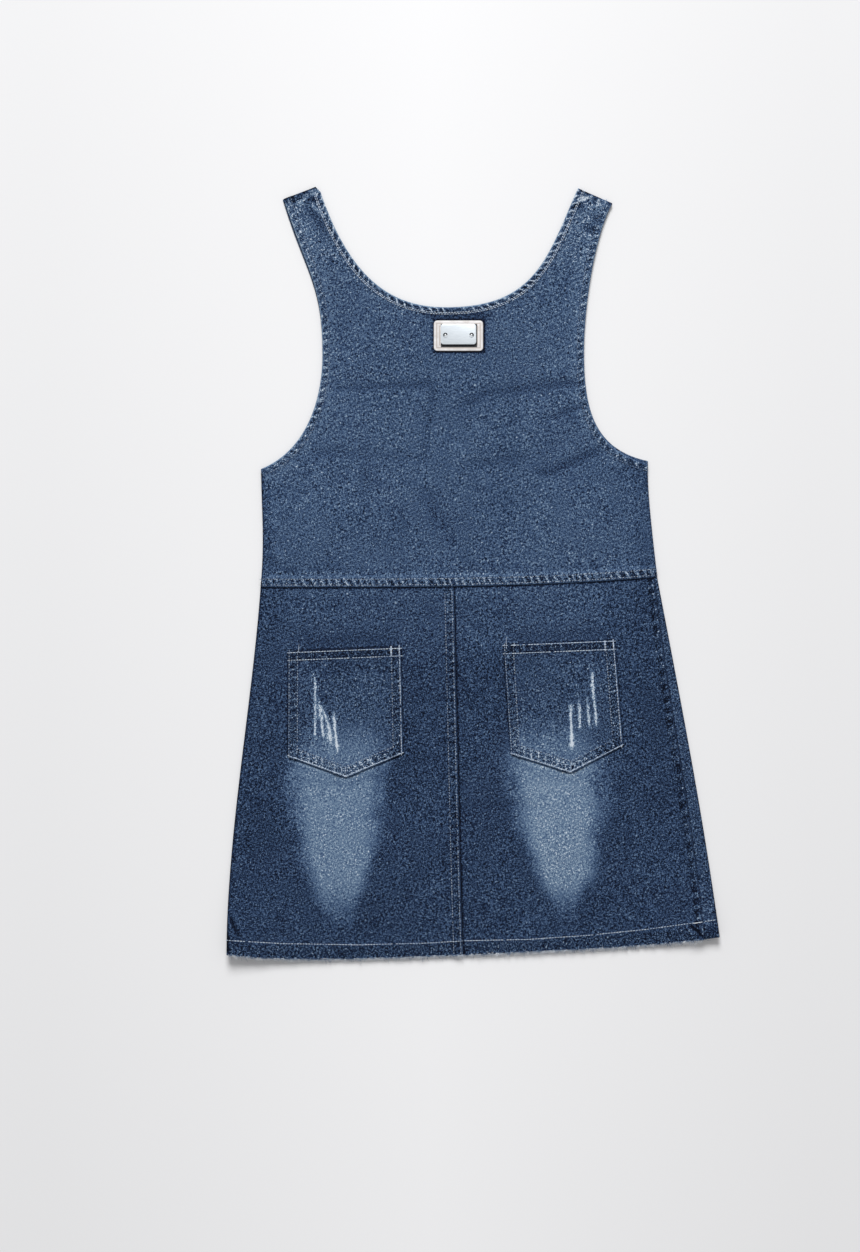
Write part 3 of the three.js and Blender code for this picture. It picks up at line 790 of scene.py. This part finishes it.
def skirt_tone(spots):
    tone = 0.268 + 0.03 * clouds(spots, 80, 4.4) + 0.02 * clouds(spots, 22, 6.1) + creases(spots)[1]
    tone += 0.085 * soft_step(spots[:, 1], -130, -50) * (1 - soft_step(np.abs(spots[:, 0] + 15), 130, 230))
    tone += 0.42 * faded(spots, "left") + 0.45 * faded(spots, "right")
    for outline in pocket_outlines.values():
        near = np.abs(spots - outline.mean(0)).max(1) < 90
        if near.any():
            reach = reach_to(spots[near], outline)
            outside = ~inside(spots[near], outline)
            below = spots[near, 1] < outline[:, 1].min() + 24
            worn = np.maximum(faded(spots[near], "left"), faded(spots[near], "right"))
            # painted shadow: a dark ring on the skirt just outside each pocket, weaker below its lower
            # edges
            tone[near] -= outside * (0.26 - 0.12 * below) * bell(reach, 0.5, 0.8)
            rim = 0.14 * below * bell(reach, 2.6, 1.2)
            tone[near] += outside * (rim - 0.08 * worn * bell(reach, 3, 12))
    return tone


def skirt_surface(spots, bands, flap_line=None):
    """Height and looks of a skirt panel's upper face, which dips where another laps over it."""
    height = BACK_TOP + lie(spots)
    worn = np.maximum(faded(spots, "left"), faded(spots, "right"))
    height, looks = sewn(spots, height, skirt_tone(spots), 1 - 0.28 * worn, bands)
    over = [waist_line] if flap_line is None else [waist_line, flap_line]
    for line in over:
        past, _ = measure(spots, line)
        height = height - UNDERLAP_DROP * soft_step(past, -1.5, 0.5)
        # painted shade: a dark line on this panel just past each edge that laps over it
        looks["tone"] = looks["tone"] - 0.42 * bell(past, -0.4, 1.2)
    looks["tone"] = looks["tone"] + 0.05 * bell(measure(spots, waist_line)[0], -6, 4)
    from_hem, _ = measure(spots, hem_line)
    looks["tone"] = looks["tone"] - 0.05 * (1 - soft_step(from_hem, 13, 17))
    looks["grit"] = np.maximum(looks["grit"], 1.5 * (1 - soft_step(from_hem, 1, 4)))
    return height, looks


def skirt_left_surface(spots):
    height, looks = skirt_surface(spots, LEFT_BANDS)
    return folded(spots, skirt_left_line, height, looks)


def skirt_right_surface(spots):
    return skirt_surface(spots, RIGHT_BANDS, centre_line)


def part_of(line, low, high):
    """The stretch of a line between two limits of x."""
    return line[(line[:, 0] >= low) & (line[:, 0] <= high)]


def waist_above(low, high):
    """The waist line moved up under the bodice, run from right to left."""
    return (part_of(waist_line, low, high) + (0, UNDERLAP))[::-1]


UNDER_LEFT = (-231.8, WAIST_LEFT[1] + UNDERLAP)
UNDER_CENTRE = (-20.6, -16.2 + UNDERLAP)
left_outline = around(
    part_of(hem_line, -999, HEM_CENTRE[0]), np.vstack([centre_line, [UNDER_CENTRE]]),
    np.vstack([waist_above(-231.5, -20.6), [UNDER_LEFT]]), np.vstack([[UNDER_LEFT], skirt_left_line]),
    step=EDGE_STEP)
pocket_rings = [ring for distance in (0.4, 1.3, 2.4) for ring in around_pockets(distance)]
sharp_creases = [evenly(beside(np.array(line), shift), 1.5) for line, half_width, _, _ in CREASES
                 if half_width < 2 for shift in (-2.2, -1.1, 0, 1.1, 2.2)]
spots, faces = cut_cloth(left_outline, CLOTH_SPACING, EDGE_STEP, EDGE_ROWS, pocket_rings + sharp_creases)
skirt_denim = denim("skirt denim", 0.0, 0.6, 0.02)
skirt_left = make_panel("back_skirt_left_cloth", spots, *skirt_left_surface(spots), faces, skirt_denim,
                        "skirt_denim")
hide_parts("back_skirt_left")

FLAP_TOP = (-20.3 - UNDERLAP, -16 + UNDERLAP)
right_outline = around(
    np.vstack([[(HEM_CENTRE[0] - UNDERLAP, HEM_CENTRE[1])], part_of(hem_line, HEM_CENTRE[0], 254.8),
               [(254.9, -402.8)]]),
    np.vstack([side_seam_line, [(199.7, -4.3 + UNDERLAP)]]),
    np.vstack([waist_above(-26.5, 199.5), [FLAP_TOP]]),
    np.vstack([[FLAP_TOP], (centre_line + (-UNDERLAP, 0))[::-1]]), step=EDGE_STEP)
spots, faces = cut_cloth(right_outline, CLOTH_SPACING, EDGE_STEP, EDGE_ROWS, pocket_rings + sharp_creases)
skirt_right = make_panel("back_skirt_right_cloth", spots, *skirt_right_surface(spots), faces, skirt_denim,
                         "skirt_denim")
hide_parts("back_skirt_right")

hem_row = evenly(HEM_ROW, 1.0)
white_thread = sewing_thread("white thread", (250, 251, 252), (232, 236, 240))
skirt_stitches = [
    sew("centre_seam_stitches", [(centre_line, row, 0, 0.985) for row in CENTRE_ROWS],
        skirt_left_surface, dull_thread, 19, skip=0.06, size=0.82),
    sew("hem_left_stitches", ((part_of(hem_row, -999, HEM_CENTRE[0] - 1), 0, 0, 1),),
        skirt_left_surface, pale_thread, 13),
    sew("hem_right_stitches", ((part_of(hem_row, HEM_CENTRE[0] + 2, 252), 0, 0, 1),),
        skirt_right_surface, pale_thread, 15),
    sew("hem_row_end", ((np.array([(243.4, -384.6), (251.6, -383.4)]), 0, 0, 1),), skirt_right_surface,
        white_thread, 17, skip=0, size=1.2),
]


def strands(name, paths, radius, material, sides=3):
    """Loose ends of yarn, each run along its own few points and drawn out to a tip."""
    spots = []
    faces = []
    turns = np.arange(sides) * 2 * math.pi / sides
    for path in paths:
        path = np.asarray(path, float)
        way = np.gradient(path, axis=0)
        way /= np.linalg.norm(way, axis=1)[:, None]
        side = np.cross(way, (0.1, 0.2, 1.0))
        side /= np.linalg.norm(side, axis=1)[:, None]
        up = np.cross(side, way)
        start = len(spots)
        for index, spot in enumerate(path):
            girth = radius * (1 - 0.7 * index / (len(path) - 1))
            spots += [spot + girth * (math.cos(turn) * side[index] + math.sin(turn) * up[index])
                      for turn in turns]
        for ring in range(len(path) - 1):
            for corner in range(sides):
                near = start + ring * sides + corner
                beyond = start + ring * sides + (corner + 1) % sides
                faces.append((near, beyond, beyond + sides, near + sides))
        faces.append(tuple(start + corner for corner in reversed(range(sides))))
        faces.append(tuple(len(spots) - sides + corner for corner in range(sides)))
    return make_piece(name, np.array(spots), faces, material)


def hem_fray(name, low, high, surface, seed):
    """Short ends of weft that stand out of the cut edge of the hem."""
    chance = np.random.default_rng(seed)
    edge = part_of(evenly(hem_line, 0.5), low, high)
    way = heading(edge)
    roots = edge + np.stack([-way[:, 1], way[:, 0]], 1) * 1.4
    heights = surface(roots)[0] - chance.uniform(-0.15, 0.8, len(edge))
    paths = []
    for root, (run, rise), height in zip(roots, way, heights):
        length = chance.gamma(2.6, 0.75) + (0.5 if root[0] < 0 else 1.2)
        lean = chance.normal(0, 0.85)
        bend = chance.normal(0, 0.7)
        fall = chance.uniform(-0.3, 0.25)
        path = []
        for share in np.linspace(0, 1, 4):
            angle = lean + bend * share
            ahead = math.sin(angle) * length * share
            out = (math.cos(angle) * length + 1.4) * share
            path.append((root[0] + run * ahead + rise * out, root[1] + rise * ahead - run * out,
                         height + fall * length * share))
        paths.append(path)
    return strands(name, paths, 0.3, fray_cotton)


fray_cotton = sewing_thread("frayed cotton", (206, 211, 218), (106, 120, 142))
fray_left = hem_fray("hem_fray_left", -268.5, HEM_CENTRE[0] - 0.5, skirt_left_surface, 31)
fray_right = hem_fray("hem_fray_right", HEM_CENTRE[0] + 0.5, 254, skirt_right_surface, 32)


# Front bodice and front skirt, which lie underneath.
# Plain panels of the same twill, their outer sides down. The skirt's rolls over at the right side
# and comes back as a narrow strip that runs under the edge of the back skirt.
FOLD_RADIUS = 1.45
FRONT_SPACING = 9
FRONT_STEP = 5
FRONT_ROWS = (2.5, 6)
FRONT_NECK_LOW = (-28.9, 236)
FRONT_UNDERARM_RIGHT = (193.3, 123.5)
FRONT_STRAP_OUTER = (-208.6, 411.2)

fold_line = bezier(FOLD_BOTTOM, (255, -278.7), (228.6, -143.3), FOLD_TOP)
front_neck_line = bezier(STRAP_RIGHT_INNER, (88, 346), (66, 236), FRONT_NECK_LOW,
                         (-118, 236), (-139, 336), STRAP_LEFT_INNER)
front_side_line = bezier(WAIST_RIGHT, (198.7, 40.1), (191.9, 91), FRONT_UNDERARM_RIGHT)
front_armhole_line = bezier(FRONT_UNDERARM_RIGHT, (139.7, 135.1), (122.9, 171.9), ARM_RIGHT_MIDDLE,
                            (122.9, 293.8), (134.5, 371.2), STRAP_RIGHT_OUTER)
front_left_armhole_line = bezier(FRONT_STRAP_OUTER, (-184.6, 331.5), (-165.1, 319.2), ARM_LEFT_MIDDLE,
                                 (-164.9, 239.4), (-160.7, 144), UNDERARM_LEFT)


def front_tone(spots):
    return 0.27 + 0.05 * clouds(spots, 60, 12.5)


def underside(faces):
    """The same faces turned to look down, for a panel whose outer side lies on the surface."""
    return [tuple(reversed(face)) for face in faces]


front_outline = around(
    waist_line + (0, 0.3), front_side_line, front_armhole_line, shoulder_right_line, front_neck_line,
    corner_line, np.array([STRAP_LEFT_TOP, FRONT_STRAP_OUTER]), front_left_armhole_line, side_left_line,
    step=FRONT_STEP)
spots, faces = cut_cloth(front_outline, FRONT_SPACING, FRONT_STEP, FRONT_ROWS)
front_denim = denim("front denim", 0.0, 0.6, 0.02)
front_bodice = make_panel("front_bodice_cloth", spots, FRONT_LOW + curl(spots),
                          {"tone": front_tone(spots) + 0.12, "grit": np.ones(len(spots))},
                          underside(faces), front_denim, "front_denim")
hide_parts("front_bodice")

front_waist_line = np.vstack([[FOLD_TOP], part_of(waist_line, -999, 201)[::-1] - (0, 0.3)])
front_skirt_outline = around(hem_line, fold_line, front_waist_line, skirt_left_line, step=FRONT_STEP)
spots, faces = cut_cloth(front_skirt_outline, FRONT_SPACING, FRONT_STEP, FRONT_ROWS)
stations = evenly(fold_line, FRONT_STEP)
way = heading(stations)
inward = np.stack([-way[:, 1], way[:, 0]], 1)
strip_width = -measure(stations, side_seam_line)[0]
rolled = []
for turn in np.linspace(0, math.pi, 9):
    rolled.append((stations - inward * FOLD_RADIUS * math.sin(turn), FOLD_RADIUS * (1 - math.cos(turn))))
for short, share in ((16, 0.92), (13, 0.76), (10, 0.6), (7, 0.45), (4.6, 0.33), (3.2, 0.23), (2.2, 0.15),
                     (1.4, 0.09), (0.7, 0.04), (-0.4, 0), (-2, 0), (-5, 0)):
    # columns that crowd towards the edge of the skirt that laps over them
    run = strip_width - np.minimum(short, strip_width * share if share else short)
    rolled.append((stations + inward * run[:, None], 2 * FOLD_RADIUS))
columns, count = len(rolled), len(stations)
rolled_spots = np.concatenate([places for places, _ in rolled])
rolled_level = np.repeat([level for _, level in rolled], count)
start = len(spots)
strip_faces = [
    (start + column * count + row, start + column * count + row + 1,
     start + (column + 1) * count + row + 1, start + (column + 1) * count + row)
    for column in range(columns - 1) for row in range(count - 1)
]
from_hem, _ = measure(rolled_spots, hem_line)
strip_tone = 0.3 + 0.06 * clouds(rolled_spots, 14, 3.3) + 0.25 * bell(from_hem, 0, 3)
strip_tone -= 0.17 * (1 - soft_step(from_hem, 13, 16)) + 0.16 * (rolled_level < 1.95 * FOLD_RADIUS)
from_seam, _ = measure(rolled_spots, side_seam_line)
# painted shade: a dark line on the strip along the edge of the back skirt that laps over it
strip_tone += 0.08 * bell(from_seam, -2, 1) - 0.25 * bell(from_seam, 0, 1)
all_spots = np.vstack([spots, rolled_spots])
level = FRONT_LOW + curl(all_spots) + np.concatenate([np.zeros(start), rolled_level])
front_skirt = make_piece("front_skirt_cloth", np.column_stack([all_spots, level]),
                         underside(faces) + strip_faces, front_denim)
dye(front_skirt, {"tone": np.concatenate([front_tone(spots), strip_tone]),
                  "grit": np.full(len(all_spots), 1.2)})
bpy.ops.object.mode_set(mode="EDIT")
bpy.ops.mesh.select_all(action="SELECT")
bpy.ops.mesh.remove_doubles(threshold=0.02 * MM)
bpy.ops.object.mode_set(mode="OBJECT")
thicken(front_skirt)
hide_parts("front_skirt")


def strip_surface(spots):
    return (FRONT_LOW + 2 * FOLD_RADIUS + curl(spots),)


strip_stitches = sew("hem_strip_stitches", ((part_of(hem_row, 256.5, 999), 0, 0, 1),), strip_surface,
                     pale_thread, 16)


# Patch pockets.
# Five-sided pieces of twill with a turned hem at the mouth, sewn down with two rows of pale thread, and
# worn through to whitish streaks towards the side that the hand goes in.
POCKET_RISE = CLOTH + 0.25
INNER_ROWS = {
    # distances of the inner row from each edge: lower left, lower right, right, mouth, left
    "pocket_left": (11.6, 11.6, 10.8, 10.7, 10.1),
    "pocket_right": (13.0, 11.5, 11.0, 10.1, 9.8),
}
MOUTH = 3
MOUTH_ROW = {"pocket_left": 2.3, "pocket_right": 1.1}
MOUTH_RIM = {"pocket_left": -0.1, "pocket_right": 0.28}
STREAKS = {
    # points, half width, strength
    "pocket_left": (
        (((-173, -112), (-172.6, -150), (-173, -182)), 1.5, 0.5),
        (((-169, -137), (-166, -160), (-163.5, -182)), 1.6, 0.55),
        (((-166, -146), (-158, -167), (-155.5, -188)), 2.1, 0.5),
        (((-152.5, -152), (-150.5, -176), (-148, -196)), 1.5, 0.6),
    ),
    "pocket_right": (
        (((109, -142), (108, -153), (109, -172), (109.5, -194)), 1.6, 0.62),
        (((117.5, -140), (118.5, -173)), 1.5, 0.6),
        (((126, -137), (129, -170)), 1.4, 0.54),
        (((132, -106), (132.6, -131), (135, -147), (136.5, -169)), 1.5, 0.58),
    ),
}
THREAD_ENDS = {
    # points on the cloth above the pocket's mouth
    "pocket_left": (((-191, -87), (-190.8, -82), (-190.6, -77.5)),),
    "pocket_right": (((37.4, -82), (37.2, -76), (37.8, -69.5)), ((45.6, -80), (46.2, -76.4))),
}


def pocket_bands(name):
    corners = POCKETS[name]
    rims = (0.55, 0.62, 0.3, MOUTH_RIM[name], 0.22)
    bands = []
    for side, inner in enumerate(INNER_ROWS[name]):
        line = np.array([corners[side], corners[(side + 1) % 5]])
        worn = dict(stroke=0.14, patch=0.16, rim_at=0.8)
        if side < 2:
            worn = dict(stroke=0.24, patch=0.2, rim_at=1.7, trough=0.14)
        # edge paints shade along each edge of the pocket, strongest at the lower edges and the mouth
        bands.append((line, dict(width=inner + 0.6, height=0.5, rope=0.3, period=7.4, slant=0.3,
                                 rows=(inner,) if side == MOUTH else (1.3, inner), seed=side * 1.7,
                                 rim=rims[side], edge=(0.4, 0.3, 0.12, 0.3, 0.1)[side],
                                 deep=(0.03, 0.03, 0.06, 0.15, 0.06)[side], **worn)))
    return bands


def pocket_surface(name):
    """Height and looks of a pocket's upper face, as a function of the spots on it."""
    bands = pocket_bands(name)
    mouth = bands[MOUTH][0]
    side = name.split("_")[1]

    def surface(spots):
        height = BACK_TOP + lie(spots) + POCKET_RISE
        tone = 0.325 + 0.03 * clouds(spots, 45, 7.1) + 0.02 * clouds(spots, 12, 1.9) + creases(spots)[1]
        worn = faded(spots, side)
        tone += 0.26 * worn
        tone -= 0.03 * bell(measure(spots, mouth)[0], 17, 6)
        for line, half_width, strength in STREAKS[name]:
            reach, along = measure(spots, np.array(line))
            length = length_of(line)
            ends = soft_step(along, -3, 9) * (1 - soft_step(along, length - 7, length + 3))
            ragged = half_width * (1 + 0.35 * np.sin(along / 2.7 + strength * 40) * np.sin(along / 4.4))
            tone += (strength + 0.14) * ends * np.exp(-np.abs(reach / ragged) ** 2.4)
        return sewn(spots, height, tone, 1 - 0.3 * worn, bands)

    return surface


def inner_corner(name, side):
    """Where the inner rows of an edge and of the one before it cross."""
    corners = POCKETS[name]
    sides = []
    for edge in (side - 1, side):
        start, end = (np.array(corners[index % 5], float) for index in (edge, edge + 1))
        way = (end - start) / np.hypot(*(end - start))
        sides.append((start + np.array([-way[1], way[0]]) * INNER_ROWS[name][edge % 5], way))
    (first, run), (second, across) = sides
    gap = second - first
    reach = (gap[0] * across[1] - gap[1] * across[0]) / (run[0] * across[1] - run[1] * across[0])
    return first + run * reach


pocket_denim = denim("pocket denim", math.radians(2), 0.69, 0.02)
for name, corners in POCKETS.items():
    surface = pocket_surface(name)
    streaks = [evenly(np.array(line) + (shift, 0), 1.5) for line, _, _ in STREAKS[name]
               for shift in (-2.0, -1.1, -0.3, 0.5, 1.3, 2.2)]
    spots, faces = cut_cloth(pocket_outlines[name], 2.1, 1.7,
                             (0.6, 1.3, 2.2, 3.3, 4.6, 6.0, 7.4, 8.8, 10.0, 11.2, 12.6), streaks)
    pocket = make_panel(name + "_cloth", spots, *surface(spots), faces, pocket_denim, "pocket_denim")
    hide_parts(name)
    inner = [inner_corner(name, side) for side in range(5)]
    outer = [np.array(corner, float) for corner in corners]
    up = (0, INNER_ROWS[name][MOUTH] - 1)
    mouth = np.array([outer[3], outer[4]])
    inner_rows = [(np.array(ends), 0, 0, 1) for ends in (
        (inner[0], inner[1]), (inner[1], inner[2]), (inner[2], inner[3] + up), (inner[4] + up, inner[0]))]
    inner_rows.append((np.array([outer[4], outer[0]]), 0.9, 0.01, 0.99))
    rows = [(mouth, row, 0.01, 0.99) for row in (INNER_ROWS[name][MOUTH], MOUTH_ROW[name])]
    rows += [(np.array([outer[side], outer[side + 1]]), 1.8, 0.01, 0.99) for side in (0, 1, 2)]
    right_edge = np.array([outer[2], outer[3]])
    for offset in (2.1, INNER_ROWS[name][2] - 0.4, INNER_ROWS[name][2] + 0.5):
        rows.append((beside(right_edge, offset)[-11:-1], 0, 0, 1))
    tip = (outer[1] + inner[1]) / 2
    rows.append((np.array([tip + (0, 4.6), tip - (0, 4.2)]), 0, 0, 1))
    sewing = [
        sew(name + "_stitches", rows, surface, pale_thread, 20 + len(name), size=1.12),
        sew(name + "_inner_stitches", inner_rows, surface, dull_thread, 25 + len(name), size=0.8),
    ]
    skirt_top = skirt_left_surface if name == "pocket_left" else skirt_right_surface
    ends = []
    for path in THREAD_ENDS[name]:
        flat = np.array(path)
        level = np.maximum(skirt_top(flat)[0], surface(flat)[0] * (flat[:, 1] < outer[4][1])) + 0.35
        ends.append(np.column_stack([flat, level]))
    tail = strands(name + "_thread_ends", ends, 0.4, pale_thread, sides=5)


# Leather patch below the neck.
# Pale grey leather, die cut with rounded corners, pressed with two fine lines all round inside its edge,
# and painted near black below the plate and at its right, as the shadow where the plate stands off it.
PATCH_LOW = 3.2
PATCH_HEIGHT = 1.55
CORNER = 4.2
PLATE_WIDTH = 39
PLATE_LENGTH = 22.8
PLATE_Y = 262.8


def block(name, width, length, low, height):
    """A plain block centred on the label, whose shape is then worked in edit mode."""
    bpy.ops.object.select_all(action="DESELECT")
    bpy.ops.mesh.primitive_cube_add(size=1, location=(LABEL_X * MM, LABEL_Y * MM, (low + height / 2) * MM))
    piece = bpy.context.object
    piece.name = name
    piece.scale = (width * MM, length * MM, height * MM)
    bpy.ops.object.transform_apply(location=True, rotation=True, scale=True)
    return piece


def round_off(piece, corner, rim):
    """Turns a block's upright corners on a curve and rounds its upper edge; its top stays picked."""
    bpy.ops.object.mode_set(mode="EDIT")
    bpy.ops.mesh.select_mode(type="EDGE")
    bpy.ops.mesh.select_all(action="DESELECT")
    bpy.ops.object.mode_set(mode="OBJECT")
    for edge in piece.data.edges:
        ends = [piece.data.vertices[index].co for index in edge.vertices]
        edge.select = abs(ends[0].z - ends[1].z) > 0.3 * MM
    bpy.ops.object.mode_set(mode="EDIT")
    bpy.ops.mesh.bevel(offset=corner * MM, segments=7, affect="EDGES")
    bpy.ops.mesh.select_mode(type="FACE")
    pick_faces(piece, lambda centre, normal: normal.z > 0.9)
    for share, rise in ((0.12, 0.4), (0.2, 0.32), (0.3, 0.2), (0.38, 0.08)):
        bpy.ops.mesh.inset(thickness=share * rim * MM, depth=rise * rim * MM)


def settle(piece, node, material, smooth=40):
    """Closes a rigid piece: its finish, its smooth faces, the node that it stands for and its body."""
    bpy.ops.object.mode_set(mode="OBJECT")
    piece.data.materials.clear()
    piece.data.materials.append(material)
    bpy.ops.object.shade_smooth_by_angle(angle=math.radians(smooth))
    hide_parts(node)
    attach(piece, "root")


leather, tree, shader = finish("pale leather", 0.6)
place = add_node(tree, "ShaderNodeTexCoord").outputs["Object"]
sides = add_node(tree, "ShaderNodeSeparateXYZ", {0: place})
pores = add_node(tree, "ShaderNodeTexVoronoi", {"Vector": place, "Scale": 900})
colour = blend(tree, noise_of(tree, place, 150, 3), ((0.35, (218, 213, 211)), (0.65, (241, 239, 240))))


def within(side, middle, half):
    """How far a spot lies in from a pair of straight edges."""
    far = sum_of(tree, "ABSOLUTE", sum_of(tree, "SUBTRACT", sides.outputs[side], middle * MM))
    return sum_of(tree, "SUBTRACT", half * MM, far)


def inward(middle, halves):
    """How far a spot lies inside a rectangle."""
    return sum_of(tree, "MINIMUM", within("X", middle[0], halves[0]), within("Y", middle[1], halves[1]))


def rise(value, low, high):
    """Nought up to one distance and one from another on, both in millimetres."""
    limits = {0: value, 1: low * MM, 2: high * MM, 3: 0.0, 4: 1.0}
    return add_node(tree, "ShaderNodeMapRange", limits).outputs[0]


def tinted(colour, share, tint):
    mix = add_node(tree, "ShaderNodeMix", {0: share, 6: colour, 7: linear(*tint)}, data_type="RGBA")
    return mix.outputs[2]


from_edge = inward((LABEL_X, LABEL_Y), (PATCH_WIDTH / 2, PATCH_LENGTH / 2))
relief = pores.outputs["Distance"]
for depth in (3.3, 6.4):
    clear = rise(sum_of(tree, "ABSOLUTE", sum_of(tree, "SUBTRACT", from_edge, depth * MM)), 0.15, 0.85)
    colour = tinted(colour, sum_of(tree, "SUBTRACT", 1.0, clear), (188, 178, 170))
    relief = sum_of(tree, "MULTIPLY_ADD", clear, 1.2, relief)
# painted shadow: a near-black strip on the leather under the plate's lower edge and along its right edge
gap = inward((LABEL_X + 0.6, PLATE_Y - 1.5), (PLATE_WIDTH / 2 + 0.5, PLATE_LENGTH / 2 + 1.5))
colour = tinted(colour, rise(gap, -0.3, 0.4), (30, 31, 36))
colour = tinted(colour, rise(from_edge, 0.6, -0.1), (160, 156, 156))
tree.links.new(colour, shader.inputs["Base Color"])
roughen(tree, shader, 0.5, 0.0002, relief)

patch = block("leather_patch", PATCH_WIDTH, PATCH_LENGTH, PATCH_LOW, PATCH_HEIGHT - 0.8)
round_off(patch, CORNER, 0.8)
settle(patch, "label_patch", leather)


# Metal plate on the patch.
# A thin blank plate of brushed light alloy with rounded corners, which stands off the leather a little
# more at its lower edge; two rivets hold it.
PLATE_LOW = 5.35
PLATE_HEIGHT = 1.1
PLATE_TILT = math.tan(math.radians(2.8))

metal, tree, shader = finish("brushed alloy", 0.42)
shader.inputs["Metallic"].default_value = 0.45
place = add_node(tree, "ShaderNodeTexCoord").outputs["Object"]
brushed = add_node(tree, "ShaderNodeMapping", {"Vector": place, "Scale": (0.06, 1, 1)}).outputs[0]
lines = noise_of(tree, brushed, 2600, 2)
colour = blend(tree, lines, ((0.3, (214, 222, 229)), (0.7, (234, 241, 247))))
tree.links.new(colour, shader.inputs["Base Color"])
roughen(tree, shader, 0.12, 0.0001, lines)

plate = block("metal_plate", PLATE_WIDTH, PLATE_LENGTH, PLATE_LOW, PLATE_HEIGHT - 0.5)
round_off(plate, 3.2, 0.5)
bpy.ops.object.mode_set(mode="OBJECT")
for vertex in plate.data.vertices:
    vertex.co.y += (PLATE_Y - LABEL_Y) * MM
    vertex.co.z += (PLATE_Y * MM - vertex.co.y) * PLATE_TILT
settle(plate, "label_plate", metal)


# Two rivets through the plate.
# Small hollow rivets of the same alloy, each a flat ring round a sunk groove and a low dome.
RIVET_RADIUS = 2.5
RIVET_SPACING = 28.8
RIVET_LOW = 6.35
RIVET_Y = 261.8

rivet_metal, tree, shader = finish("rivet alloy", 0.34)
shader.inputs["Metallic"].default_value = 0.2
place = add_node(tree, "ShaderNodeTexCoord").outputs["Object"]
colour = blend(tree, noise_of(tree, place, 900, 3), ((0.35, (226, 231, 236)), (0.65, (248, 250, 252))))
sides = add_node(tree, "ShaderNodeSeparateXYZ", {0: place})
outward = within("X", LABEL_X, RIVET_SPACING / 2)
along = sum_of(tree, "SUBTRACT", sides.outputs["Y"], RIVET_Y * MM)
spot = add_node(tree, "ShaderNodeCombineXYZ", {0: outward, 1: along}).outputs[0]
reach = add_node(tree, "ShaderNodeVectorMath", {0: spot}, operation="LENGTH").outputs["Value"]
# painted shade: the upper side of each rivet's ring and groove is painted near black
groove_shade = rise(sum_of(tree, "MULTIPLY_ADD", outward, -0.6, along), -1.6, -0.6)
for low, high in ((0.9, 1.1), (2.6, 2.4)):
    groove_shade = sum_of(tree, "MULTIPLY", groove_shade, rise(reach, low, high))
tree.links.new(tinted(colour, groove_shade, (24, 26, 31)), shader.inputs["Base Color"])

bpy.ops.object.select_all(action="DESELECT")
bpy.ops.mesh.primitive_cylinder_add(
    vertices=24, radius=RIVET_RADIUS * MM, depth=0.6 * MM,
    location=((LABEL_X - RIVET_SPACING / 2) * MM, RIVET_Y * MM, (RIVET_LOW + 0.3) * MM))
left_rivet = bpy.context.object
left_rivet.name = "rivet_left"
bpy.ops.object.transform_apply(location=True, rotation=True, scale=True)
pick_faces(left_rivet, lambda centre, normal: normal.z > 0.9)
for step_in, step_up in ((0.12, 0.16), (0.12, 0.06), (0.2, 0.0), (0.16, -0.6), (0.6, -0.05), (0.14, 0.4),
                         (0.3, 0.2), (0.3, 0.1)):
    bpy.ops.mesh.inset(thickness=step_in * MM, depth=step_up * MM)
bpy.ops.object.mode_set(mode="OBJECT")
bpy.ops.object.duplicate_move(TRANSFORM_OT_translate={"value": (RIVET_SPACING * MM, 0, 0)})
right_rivet = bpy.context.object
right_rivet.name = "rivet_right"
bpy.ops.object.transform_apply(location=True, rotation=True, scale=True)
for rivet, node in ((left_rivet, "label_rivet_left"), (right_rivet, "label_rivet_right")):
    bpy.ops.object.select_all(action="DESELECT")
    rivet.select_set(True)
    bpy.context.view_layer.objects.active = rivet
    settle(rivet, node, rivet_metal)
